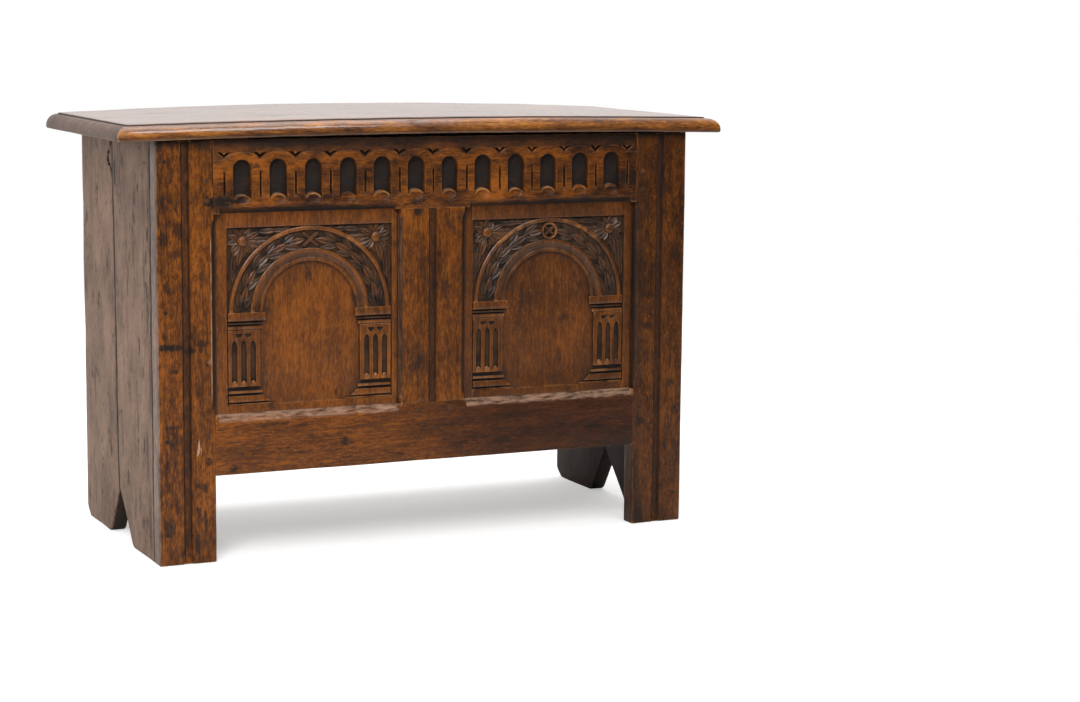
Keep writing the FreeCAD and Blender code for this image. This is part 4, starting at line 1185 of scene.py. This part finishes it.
def spandrel(middle, side, front, values, dice):
    # a round boss and its spray of leaves in the corner beside the arch
    x = middle + side * values["outer"] * values["bossOut"]
    z = values["spring"] + values["outer"] * values["bossUp"]
    ground = front + values["groundDepth"]
    drop()
    radius = values["bossRadius"]
    bpy.ops.mesh.primitive_uv_sphere_add(segments=24, ring_count=14, radius=radius,
                                         location=(x, ground - 0.0012, z), scale=(1, 0.62, 1))
    parts = [named("boss")]
    for number, (turn, length, width) in enumerate(corner["spray"]):
        turn = turn + dice.uniform(-3, 3)
        angle = 180 - turn if side > 0 else turn
        a = math.radians(angle)
        foot = (x + math.cos(a) * radius * 0.8, z + math.sin(a) * radius * 0.8)
        height = corner["sprayHeights"][number % 2]
        long = length * dice.uniform(0.98, 1.08)
        parts.append(leafAt(foot, angle, long, width * corner["sprayWidth"], height, ground, 1.5))
    for inwards, up, turn, length, width in corner["fill"]:
        angle = 180 - turn if side > 0 else turn
        foot = (x - side * inwards, z + up)
        wide = width * corner["fillWidth"]
        parts.append(leafAt(foot, angle, length, wide, corner["fillHeight"], ground, 1.0))
    for part in parts[1:]:
        part.name = "spray"
    return parts


laurel = {
    "bunches": 5,
    "start": 3,
    "turn": 79,
    "length": 0.0272,
    "width": 0.0116,
    "height": 0.0044,
    # a bunch's three leaves: how far out each starts, its spread and reach in degrees, its size and its rise
    "bunch": [(0.0046, 20, 1.0, 1.0, 0.0), (-0.0046, -20, 0.0, 0.94, 0.0), (0.0, 0, 5.0, 0.96, 0.0009)],
}


def garland(middle, front, values, dice):
    # bunches of three laurel leaves climb each side of the band towards the crown
    parts = []
    radius = (values["bandOuter"] + values["bandInner"]) / 2
    depth = front + values["bandDepth"]
    for side in (-1, 1):
        for n in range(laurel["bunches"]):
            turn = laurel["start"] + n * laurel["turn"] / laurel["bunches"]
            for out, spread, reach, size, raised in laurel["bunch"]:
                r = radius + out * 0.62
                at = math.radians(turn + reach + dice.uniform(-0.5, 0.5))
                foot = (middle + side * r * math.cos(at), values["spring"] + r * math.sin(at))
                length = laurel["length"] * size * dice.uniform(0.95, 1.05)
                # a leaf is straight, so it starts out turned by half of what the arch turns under it
                way = math.degrees(at) + 90 + math.degrees(length / radius / 2) - spread
                angle = way if side > 0 else 180 - way
                wide = laurel["width"] * dice.uniform(0.92, 1.05)
                parts.append(leafAt(foot, angle, length, wide, laurel["height"], depth - raised, 1.0))
    return parts


knot = {
    "ribbon": {"left": (0.0136, 0.0022), "right": (0.01, 0.0018)},  # half its length and half its width
    "crossing": ((40, 0.005), (140, 0.0044)),  # each ribbon's way in degrees, and how far it stands out
    "ringRadius": 0.0112,
    "ringHalf": 0.0017,
    "ringOut": 0.0026,
}


def crown(middle, word, front, values):
    # the knot at the top of the garland: crossing ribbons, and on the right panel a ring about them
    radius = (values["bandOuter"] + values["bandInner"]) / 2
    z = values["spring"] + radius
    depth = front + values["bandDepth"]
    parts = []
    reach, half = knot["ribbon"][word]
    for turn, raised in knot["crossing"]:
        a = math.radians(turn)
        points = [(middle + i * reach * math.cos(a) - j * half * math.sin(a),
                   z + i * reach * math.sin(a) + j * half * math.cos(a))
                  for i, j in ((-1, -1), (1, -1), (1.12, 0), (1, 1), (-1, 1), (-1.12, 0))]
        ribbon = outlined("ribbon", onFront(points, depth - raised), (0, raised + 0.0004, 0))
        soften(ribbon, 0.0009)
        parts.append(ribbon)
    if word == "right":
        drop()
        bpy.ops.mesh.primitive_torus_add(major_segments=32, minor_segments=8,
                                         major_radius=knot["ringRadius"], minor_radius=knot["ringHalf"],
                                         location=(middle, depth - knot["ringOut"], z),
                                         rotation=(math.pi / 2, 0, 0))
        parts.append(named("ring"))
    return parts


def panelField(middle, low, high, values):
    # the panel's board: its face wavers, darkens round the edge and near the foot with dirt and painted
    # shade, and rises to the border at its foot
    foot, head = openingLow + values["foot"], openingHigh - values["head"]
    left, right = middle - values["half"], middle + values["half"]
    deep = low.y + values["fieldDepth"]
    slab = block("slab", (low.x, deep, low.z), (high.x, high.y, high.z))
    columns, rows = values["gridLines"]
    cutLines(slab, 0, [left + (right - left) * n / columns for n in range(columns + 1)])
    cutLines(slab, 2, [foot - 0.0012] + [foot + (head - foot) * n / rows for n in range(rows + 1)])
    marks = slab.data.attributes.new("grime", "FLOAT", "POINT")
    for point, mark in zip(slab.data.vertices, marks.data):
        over, up = abs(point.co.x - middle), point.co.z
        if point.co.y > deep + 0.0001:
            continue
        if up > foot - 0.0006:
            climb = 1 - share(up, foot, 0.03)
            inwards = 1 - share(over, 0.04, 0.02)
            point.co.y -= climb * climb * inwards * 0.0046
            point.co.y += 0.0003 * math.sin(point.co.x * 61 + up * 23) * (1 - climb)
        # how far inside the field the point lies
        inside = values["step"] - math.hypot(over, up - values["spring"])
        if up < values["spring"]:
            inside = column["side"] - over
        atEdge = 0.5 * (1 - share(inside, 0, 0.016)) ** 2
        atFoot = 0.3 * (1 - share(up, foot, 0.045))
        mark.value = 1.0 if inside < 0 else atEdge + atFoot
    return slab


def panelBorder(middle, low, high, values):
    # four flat bars round the carving
    foot, head = openingLow + values["foot"], openingHigh - values["head"]
    left, right = middle - values["half"], middle + values["half"]
    columns, rows = values["gridLines"]
    lap = 0.0002
    corners = [
        ((low.x, low.z), (left, high.z)),
        ((right, low.z), (high.x, high.z)),
        ((left - lap, head), (right + lap, high.z)),
        ((left - lap, low.z), (right + lap, foot)),
    ]
    parts = []
    for (x0, z0), (x1, z1) in corners:
        border = bar("border", x0, x1, z0, z1, low.y, low.y + values["fieldDepth"] + 0.001, 0.0006)
        if x1 - x0 > z1 - z0:
            cutLines(border, 0, [x0 + (x1 - x0) * n / columns for n in range(1, columns)])
        else:
            cutLines(border, 2, [z0 + (z1 - z0) * n / rows for n in range(1, rows)])
        parts.append(border)
    return parts


def archProfile(front, deep, values):
    # (radius, depth) of the arch, from outside inwards: a band, the garland's ground, a roll, a cove, a step
    outer, bandOuter = values["outer"], values["bandOuter"]
    bandInner, rollInner = values["bandInner"], values["rollInner"]
    cove, step = values["coveInner"], values["step"]
    ground = front + values["bandDepth"]
    rise = 0.0011
    return [
        (outer, deep), (outer, front + rise * 1.4), (outer - 0.0014, front + 0.0003),
        ((outer + bandOuter) / 2, front), (bandOuter + 0.0014, front + 0.0003),
        (bandOuter, front + rise * 1.4), (bandOuter - 0.0004, ground), (bandInner + 0.0004, ground),
        (bandInner, front + rise * 1.2), (bandInner - 0.0014, front + 0.0004),
        ((bandInner + rollInner) / 2, front + 0.0001), (rollInner + 0.0012, front + 0.0005),
        (rollInner, front + 0.0014), (rollInner - 0.0012, front + 0.0026), (cove + 0.0026, front + 0.0036),
        (cove + 0.0006, front + 0.0038), (cove, front + 0.0024), (cove - 0.0008, front + 0.0018),
        (step + 0.0008, front + 0.0019), (step, front + 0.0027), (step - 0.0004, deep),
    ]


# where dirt and painted shade begin and where they are thickest, measured back from the panel's face
carvedGrimeAndShade = {"leaf": (-0.0014, 0.001), "spray": (-0.0008, 0.0026), "ribbon": (-0.0036, 0.0008)}


def shadeAndDirtOnCarving(part, middle, front, values):
    kind = part.name.split(".")[0]
    clean, full = carvedGrimeAndShade.get(kind, (0.0009, 0.0028))
    settleGrimeAndShade(part, front + clean, front + full)
    for point, mark in zip(part.data.vertices, part.data.attributes["grime"].data):
        if kind == "border":
            mark.value = 0.12
        elif kind == "arch":
            radius = math.hypot(point.co.x - middle, point.co.z - values["spring"])
            mark.value *= 0.6 if radius < values["rollInner"] else 1.0


def panel(word, side):
    dice = random.Random("carving" + word)
    values = carving
    low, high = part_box("panel_" + word)
    front = low.y
    middle = side * (openingHalf + muntinHigh.x) / 2 + values["shift"][word]
    left, right = middle - values["half"], middle + values["half"]
    head, spring = openingHigh - values["head"], values["spring"]
    deep = front + values["fieldDepth"] + 0.001
    parts = [panelField(middle, low, high, values)]
    parts += panelBorder(middle, low, high, values)
    # the ground of the spandrels, with the arch left out
    ground = [(left, spring), (left, head), (right, head), (right, spring)]
    ground += arc((middle, spring), values["outer"] - 0.001, 0, 180, values["arcSteps"])
    depth = front + values["groundDepth"]
    parts.append(outlined("ground", onFront(ground, depth), (0, deep - depth, 0)))
    parts.append(ringSolid("arch", (middle, spring), archProfile(front, deep, values), values["arcSteps"]))
    for way in (-1, 1):
        parts += pilaster(middle + way * column["side"], middle + way * values["half"], front, values)
        parts += spandrel(middle, way, front, values, dice)
    parts += garland(middle, front, values, dice)
    parts += crown(middle, word, front, values)
    for part in parts[1:]:
        shadeAndDirtOnCarving(part, middle, front, values)
    piece = joined("panel" + word.title(), parts)
    wobble(piece, values["waver"])
    smooth(piece)
    # painted shade darkens the panel's edges where it goes in behind the frame
    nearEdge, farEdge = sorted((side * openingHalf, side * muntinHigh.x))
    edges = [(nearEdge, 0.0085, 0.9), (farEdge, 0.0035, 0.7)]
    finish = oak("oakPanel" + word.title(), frontTones, "Z", seed=12.4 + side, stains=0.15,
                 bright=values["bright"][word], patches=0.42, ticks=0.2, figure=0.75, wear=0.5, dirt=1.0,
                 keepDark=0.85, coat=0.3, edges=edges, dustTop=0.3, mottle=0.5, backFace=high.y)
    place(piece, "carcase", "front_oak", finish, "panel_" + word)


for word, side in (("left", -1), ("right", 1)):
    panel(word, side)
bpy.data.objects.remove(leaf)
print("panels carved")


# the boarded ends with their V cut feet; places back from the front's face
ends = {
    "frontFoot": 0.142,  # from the first foot's end to the second foot's start lies the V cut
    "rearFoot": 0.262,
    "apexBack": 0.211,
    "apexHeight": 0.077,
    "jointBack": 0.224,  # where the two boards meet at the top
    "gap": 0.0005,
    "tearFrom": 0.52,
    # the torn place: how far behind the joint each board's edge lies, and how high
    "tear": {
        "left": [(0.0, 0.001, 0.527), (0.001, 0.005, 0.545), (0.004, 0.0105, 0.5535),
                 (0.0125, 0.0195, 0.5605), (0.019, 0.0285, 0.567), (0.0155, 0.0225, 0.5755),
                 (0.0055, 0.0105, 0.589), (-0.0015, 0.0025, 0.6)],
        "right": [(0.0, 0.0008, 0.527), (0.0012, 0.0022, 0.56), (0.0002, 0.0012, 0.59)],
    },
    "rearCorner": (0.016, 0.011),
    "edgeWear": 0.0019,
    "waver": 0.0022,
}


# knocks in the left end's boards: (from front to back, up, half width, half height, strength)
endMarks = {
    "end_left_front": [
        (-0.0884, 0.516, 0.003, 0.008, 0.85), (-0.087, 0.49, 0.0035, 0.009, 0.85),
        (-0.0656, 0.4765, 0.003, 0.007, 0.8), (-0.08, 0.472, 0.003, 0.008, 0.8),
        (-0.0269, 0.4467, 0.0025, 0.008, 0.75), (-0.043, 0.448, 0.0025, 0.008, 0.75),
        (-0.0581, 0.4336, 0.004, 0.012, 0.7), (-0.0516, 0.408, 0.0035, 0.016, 0.75),
        (-0.048, 0.385, 0.005, 0.014, 0.6), (-0.1526, 0.4729, 0.004, 0.009, 0.85),
        (-0.1458, 0.4352, 0.004, 0.016, 0.7), (-0.1441, 0.394, 0.004, 0.018, 0.7),
        (0.0125, 0.549, 0.0024, 0.02, 1.0), (0.004, 0.34, 0.008, 0.026, 0.55),
        (-0.012, 0.33, 0.005, 0.02, 0.5), (-0.119, 0.593, 0.005, 0.0025, 0.7),
        (-0.145, 0.573, 0.009, 0.0025, 0.5), (-0.172, 0.56, 0.003, 0.02, 0.7),
        (-0.17, 0.49, 0.003, 0.02, 0.65), (-0.105, 0.31, 0.003, 0.014, 0.7),
        (-0.125, 0.27, 0.004, 0.012, 0.6), (-0.095, 0.19, 0.0035, 0.018, 0.6),
        (-0.125, 0.165, 0.004, 0.014, 0.65), (-0.055, 0.14, 0.003, 0.016, 0.55),
        (-0.1, 0.08, 0.004, 0.018, 0.55), (-0.005, 0.195, 0.003, 0.005, 0.8),
        (-0.166, 0.585, 0.004, 0.012, 0.85), (-0.161, 0.53, 0.003, 0.014, 0.7),
        (-0.165, 0.45, 0.003, 0.022, 0.8), (-0.164, 0.4, 0.003, 0.022, 0.75),
        (-0.166, 0.35, 0.003, 0.02, 0.7), (-0.156, 0.506, 0.004, 0.006, 0.75),
        (0.015, 0.556, 0.0028, 0.016, 1.0), (0.011, 0.538, 0.0024, 0.012, 1.0),
        (0.027, 0.596, 0.0026, 0.01, 0.95),
        (-0.15, 0.36, 0.008, 0.05, 0.5), (-0.135, 0.42, 0.007, 0.04, 0.45),
        (-0.16, 0.25, 0.007, 0.05, 0.55), (-0.14, 0.15, 0.008, 0.04, 0.45),
        (-0.152, 0.065, 0.008, 0.04, 0.5),
    ],
    "end_left_rear": [
        (0.03, 0.548, 0.0028, 0.007, 0.95), (0.0345, 0.5555, 0.004, 0.005, 1.0),
        (0.043, 0.561, 0.005, 0.004, 1.0), (0.05, 0.567, 0.0045, 0.0045, 1.0),
        (0.046, 0.575, 0.0045, 0.006, 1.0), (0.037, 0.586, 0.0034, 0.008, 0.95),
        (0.115, 0.225, 0.0035, 0.008, 0.85), (0.095, 0.19, 0.002, 0.004, 0.7),
        (0.06, 0.188, 0.002, 0.004, 0.6), (0.1, 0.12, 0.003, 0.005, 0.5),
        (0.048, 0.41, 0.002, 0.009, 0.5), (0.15, 0.5, 0.003, 0.02, 0.35),
    ],
}


def jointLine(dice):
    # (y, z) points of the line where the two boards meet, from the V cut to the top
    steps = 15
    start = Vector((frontFace + ends["apexBack"], ends["apexHeight"]))
    end = Vector((frontFace + ends["jointBack"], bodyTop))
    points = [start]
    for n in range(1, steps):
        spot = start.lerp(end, n / steps)
        points.append(Vector((spot.x + dice.uniform(-0.0007, 0.0007), spot.y)))
    return points + [end]


def endBoard(node, side, corners, seed):
    low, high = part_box(node)
    name = camel(node)
    start = low.x if side < 0 else high.x
    piece = outlined(name, [(start, y, z) for y, z in corners], (-side * (high.x - low.x), 0, 0))
    dice = random.Random(node)
    cutLines(piece, 2, between(0.09, bodyTop, 0.04, 0.3, dice))
    cutLines(piece, 1, between(low.y, high.y, 0.045, 0.3, dice))
    soften(piece, ends["edgeWear"], 3)
    wobble(piece, ends["waver"])
    smooth(piece)
    apex = (frontFace + ends["apexBack"], ends["apexHeight"])
    behindStile = frameBack + 0.0006
    seams = [(apex, (frontFace + ends["jointBack"], bodyTop)), ((behindStile, 0.0), (behindStile, bodyTop))]
    cuts = [((frontFace + ends[foot], 0.0), apex) for foot in ("frontFoot", "rearFoot")]
    finish = oak("oak" + name[0].upper() + name[1:], endTones, "Z", seed=seed, stains=0.2, gloss=0.6,
                 patches=0.5, figure=0.9, ticks=0.6, cracks=0.5, stretch=1.5, wear=0.4, dirt=0.9, relief=1.5,
                 face="end", marks=endMarks.get(node, ()), shine=0.16, seams=seams, cuts=cuts,
                 innerFrom=min(abs(low.x), abs(high.x)) + 0.001)
    place(piece, "carcase", "end_oak", finish, node)


def boardedEnd(word, side):
    # the front board and the rear board of one end, cut to the same joint
    line = jointLine(random.Random("end" + word))
    lower = [(p.x, p.y) for p in line if p.y < ends["tearFrom"]]
    top = frontFace + ends["jointBack"]
    gap = ends["gap"]
    jagFront = [(top + near, z) for near, far, z in ends["tear"][word]]
    jagRear = [(top + far, z) for near, far, z in ends["tear"][word]]
    footEnd = frontFace + ends["frontFoot"]
    corners = [(frameBack, 0.0), (footEnd - 0.01, 0.0), (footEnd - 0.001, 0.003), (footEnd + 0.0045, 0.01)]
    corners += [(y - gap / 2, z) for y, z in lower] + jagFront + [(top - gap, bodyTop), (frameBack, bodyTop)]
    endBoard(f"end_{word}_front", side, corners, 20.3 + side)
    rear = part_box(f"end_{word}_rear")[1].y
    back, up = ends["rearCorner"]
    footStart = frontFace + ends["rearFoot"]
    corners = [(rear - back, 0.0), (footStart + 0.006, 0.0), (footStart - 0.002, 0.004)]
    corners += [(y + gap / 2, z) for y, z in lower] + jagRear + [(top + gap, bodyTop)]
    corners += [(rear, bodyTop), (rear, up + 0.006), (rear - 0.003, up)]
    endBoard(f"end_{word}_rear", side, corners, 27.9 + side)


for word, side in (("left", -1), ("right", 1)):
    boardedEnd(word, side)
print("ends made")


# back, bottom and ledgers
plank = {"linesAlong": 0.06, "linesAcross": 0.04, "edgeWear": 0.0022, "waver": 0.0018}


def board(node, seed):
    dice = random.Random(node)
    low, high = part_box(node)
    piece = block(camel(node), low, high)
    cutLines(piece, 0, between(low.x, high.x, plank["linesAlong"], 0.3, dice))
    wide = 2 if high.z - low.z > high.y - low.y else 1
    cutLines(piece, wide, between(low[wide], high[wide], plank["linesAcross"], 0.2, dice))
    soften(piece, plank["edgeWear"])
    wobble(piece, plank["waver"])
    smooth(piece)
    finish = oak("oak" + piece.name[0].upper() + piece.name[1:], innerTones, "X", seed=seed, stains=0.1,
                 gloss=0.62, wear=0.35, relief=1.8, cracks=0.7, patches=0.55, stretch=4.5, figure=1.4,
                 ticks=0.6, bright=dice.uniform(0.82, 1.05))
    place(piece, "carcase", "inner_oak", finish, node)


planks = ["back_board_lower", "back_board_middle", "back_board_upper", "bottom_board_front",
          "bottom_board_middle", "bottom_board_rear", "ledger_front", "ledger_rear"]
for number, node in enumerate(planks):
    board(node, 31.7 + number * 2.3)
print("back and bottom made")


lid = {
    "thickness": 0.0225,
    "bowFront": 0.0055,
    "bowRear": 0.011,
    "nose": 0.003,
    "ovolo": 0.0157,
    "step": 0.0018,
    "fillet": 0.0188,
    "underside": 0.6073,
    "linesAlong": 0.0105,
    "linesAcross": 0.021,
    "waver": 0.0011,
    "dents": 46,
    "moulding": 0.0185,
}


def lidProfile():
    # (inwards, height) of the moulding: a round nose, an ovolo, a fillet and a step up to the top
    nose, ovolo = lid["nose"], lid["ovolo"]
    top = lid["thickness"] - lid["step"]
    points = []
    for degrees in (0, 30, 60, 90):
        turn = math.radians(degrees)
        points.append((nose * (1 - math.sin(turn)), nose * (1 - math.cos(turn))))
    for degrees in range(0, 91, 10):
        turn = math.radians(degrees)
        points.append((ovolo * (1 - math.cos(turn)), top - ovolo + ovolo * math.sin(turn)))
    points.append((lid["fillet"] - 0.0004, top + 0.0001))
    points.append((lid["fillet"] + 0.0002, lid["thickness"] - 0.0005))
    points.append((lid["fillet"] + 0.0009, lid["thickness"]))
    return points


def lidShell(half, front, rear):
    # the whole lid, flat, drawn up from its underside through the moulding's levels
    profile = lidProfile()
    inwards, height = profile[0]
    drop()
    wide, long = 2 * (half - inwards), rear - front - inwards
    middle = rear - long / 2
    bpy.ops.mesh.primitive_plane_add(size=1, location=(0, middle, 0))
    edit(named("lidWhole"))
    bpy.ops.transform.resize(value=(wide, long, 1), center_override=(0, middle, 0))
    for nextIn, nextHeight in profile[1:]:
        bpy.ops.mesh.extrude_region_move(TRANSFORM_OT_translate={"value": (0, 0, nextHeight - height)})
        newWide, newLong = 2 * (half - nextIn), rear - front - nextIn
        size = (newWide / wide, newLong / long, 1)
        bpy.ops.transform.resize(value=size, center_override=(0, rear, nextHeight))
        wide, long, height = newWide, newLong, nextHeight
    return closed("lidWhole")


def knockAndBow(piece, half, front, rear, dice):
    # knocks along the front edge, more of them on the left, and the rise towards the lid's middle
    dents = []
    for _ in range(lid["dents"]):
        x = dice.triangular(-half, half, -0.2)
        dents.append((Vector((x, front + dice.uniform(0, 0.008), dice.uniform(0.004, 0.02))),
                      dice.uniform(0.005, 0.013), dice.uniform(0.0005, 0.0016)))
    for point in piece.data.vertices:
        co = point.co
        for spot, reach, depth in dents:
            away = (co - spot).length
            if away < reach:
                push = depth * (1 - away / reach) ** 2
                co.y += push
                co.z -= push * 0.5
        back = (co.y - front) / (rear - front)
        bow = lid["bowFront"] + (lid["bowRear"] - lid["bowFront"]) * back
        co.z += lid["underside"] + ((bodyHalf / half) ** 2 - (co.x / half) ** 2) * bow


def lidBoards():
    dice = random.Random("lid")
    half, front, rear, joint = lidHigh.x, lidLow.y, lidRear, lidHigh.y
    whole = lidShell(half, front, rear)
    cutLines(whole, 0, between(-half + 0.02, half - 0.02, lid["linesAlong"], 0.0, dice))
    cutLines(whole, 1, between(front + 0.02, rear, lid["linesAcross"], 0.0, dice))
    knockAndBow(whole, half, front, rear, dice)
    soften(whole, 0.0005, 2, 50)
    rim = {"front": -front - lid["moulding"], "end": half - lid["moulding"], "low": lid["underside"],
           "rise": lid["bowFront"] * (bodyHalf / half) ** 2, "curve": lid["bowFront"] / half ** 2}
    for node, keepFront, seed in (("lid_board_front", True, 3.1), ("lid_board_rear", False, 5.9)):
        edit(copied(whole, Matrix()))
        bpy.ops.mesh.bisect(plane_co=(0, joint, 0), plane_no=(0, 1, 0), use_fill=True,
                            clear_outer=keepFront, clear_inner=not keepFront)
        leave()
        board = named(camel(node))
        wobble(board, lid["waver"])
        smooth(board, 50)
        finish = oak("oakLid" + node.split("_")[-1].title(), lidTones, "X", seed=seed, stains=0.05,
                     gloss=0.3, wear=0.7, dirt=0.7, patches=0.6, ticks=0.25, relief=0.6, shine=0.4, coat=0.45,
                     polish=0.11, stretch=4.0, face="top", rim=rim)
        place(board, "lid", "lid_oak", finish, node)
    bpy.data.objects.remove(whole)


lidBoards()
print("lid made")


# fasteners and hinges keep their CAD shapes
pegFinish = oak("oakPegs", pegTones, "Y", seed=2.2, stains=0.3, gloss=0.55, wear=0.3)
ironFinish = iron("ironForged")
for name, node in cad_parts.items():
    for kinds, finish in ((("pegs", "dowels"), pegFinish), (("nails", "hinge"), ironFinish)):
        if name.startswith(kinds):
            node.data.materials.clear()
            node.data.materials.append(finish)


studioLight = {
    "floorRadius": 2.1,
    "floorMiddle": (0, 0.8, -0.0006),
    "floorTone": (0.82, 0.82, 0.82, 1),
    "floorGlow": 0.42,  # lifts the floor to white for the camera, and keeps the shadow
    # the world is dim in front of the chest and white behind it
    "behind": {"From Min": -0.35, "From Max": 0.45, "To Min": 0.12, "To Max": 1.0},
    # each lamp's name, place, the point it looks at, its size and its power
    "lamps": [
        ("key", (-1.7, -2.7, 2.5), (0, 0, 0.3), 1.3, 92),
        ("streak", (0.35, -1.55, 2.75), (-0.2, -0.2, 0.6), 0.9, 26),
        ("top", (0.0, 0.4, 3.0), (0, 0, 0), 2.2, 42),
        ("side", (-3.0, 0.3, 1.4), (0, 0, 0.35), 1.6, 18),
    ],
}


def backdrop():
    # a world that the camera sees as white, and that lights the chest mostly from behind
    scene.world = bpy.data.worlds.new("studio")
    scene.world.use_nodes = True
    sky = Tree(scene.world.node_tree)
    seen = sky.node("ShaderNodeLightPath", output="Is Camera Ray")
    through = sky.node("ShaderNodeLightPath", output="Is Transmission Ray")
    way = sky.split(sky.node("ShaderNodeTexCoord", output="Generated"))
    settings = {"interpolation_type": "SMOOTHSTEP"}
    behind = sky.node("ShaderNodeMapRange", settings, {"Value": way[1], **studioLight["behind"]})
    background = sky.nodes["Background"]
    sky.join((1, 1, 1, 1), background.inputs["Color"])
    sky.join(seen.larger(through).larger(behind), background.inputs["Strength"])


def studio():
    backdrop()
    drop()
    bpy.ops.mesh.primitive_circle_add(vertices=96, radius=studioLight["floorRadius"], fill_type="NGON",
                                      location=studioLight["floorMiddle"])
    floor = named("floor")
    pale = Finish("paleFloor", Roughness=0.9, IOR=1.3, Base_Color=studioLight["floorTone"],
                  Emission_Color=(1, 1, 1, 1))
    ray = pale.node("ShaderNodeLightPath", output="Is Camera Ray")
    inputs = {"Color": (1, 1, 1, 1), "Strength": ray * studioLight["floorGlow"]}
    glow = pale.node("ShaderNodeEmission", {}, inputs)
    total = pale.node("ShaderNodeAddShader", {}, {0: Wire(pale, pale.shader.outputs[0]), 1: glow})
    pale.join(total, pale.nodes["Material Output"].inputs["Surface"])
    floor.data.materials.append(pale.material)
    for name, spot, target, size, power in studioLight["lamps"]:
        lamp = bpy.data.lights.new(name, "AREA")
        lamp.shape = "SQUARE"
        lamp.size = size
        lamp.energy = power
        holder = bpy.data.objects.new(name, lamp)
        holder.location = spot
        holder.visible_glossy = name != "side"
        holder.rotation_euler = (Vector(target) - Vector(spot)).to_track_quat("-Z", "Y").to_euler()
        scene.collection.objects.link(holder)


view = {
    "spot": (-1.3933, -3.52475, 0.814),
    "yaw": 25.25,  # degrees, to the right of straight ahead
    "pitch": -8.26,
    "roll": 0.56,
    "lens": 81.87,
    "sensor": 36,
}


def camera():
    yaw, pitch, roll = (math.radians(view[word]) for word in ("yaw", "pitch", "roll"))
    right = Vector((math.cos(yaw), -math.sin(yaw), 0))
    ahead = Vector((math.sin(yaw) * math.cos(pitch), math.cos(yaw) * math.cos(pitch), math.sin(pitch)))
    up = right.cross(ahead)
    tiltedRight = right * math.cos(roll) + up * math.sin(roll)
    tiltedUp = up * math.cos(roll) - right * math.sin(roll)
    lens = bpy.data.cameras.new("camera")
    lens.lens = view["lens"]
    lens.sensor_width = view["sensor"]
    holder = bpy.data.objects.new("camera", lens)
    turn = Matrix((tiltedRight, tiltedUp, -ahead)).transposed().to_4x4()
    holder.matrix_world = Matrix.Translation(view["spot"]) @ turn
    scene.collection.objects.link(holder)
    scene.camera = holder


studio()
camera()
scene.view_settings.view_transform = "Standard"

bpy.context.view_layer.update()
drop()
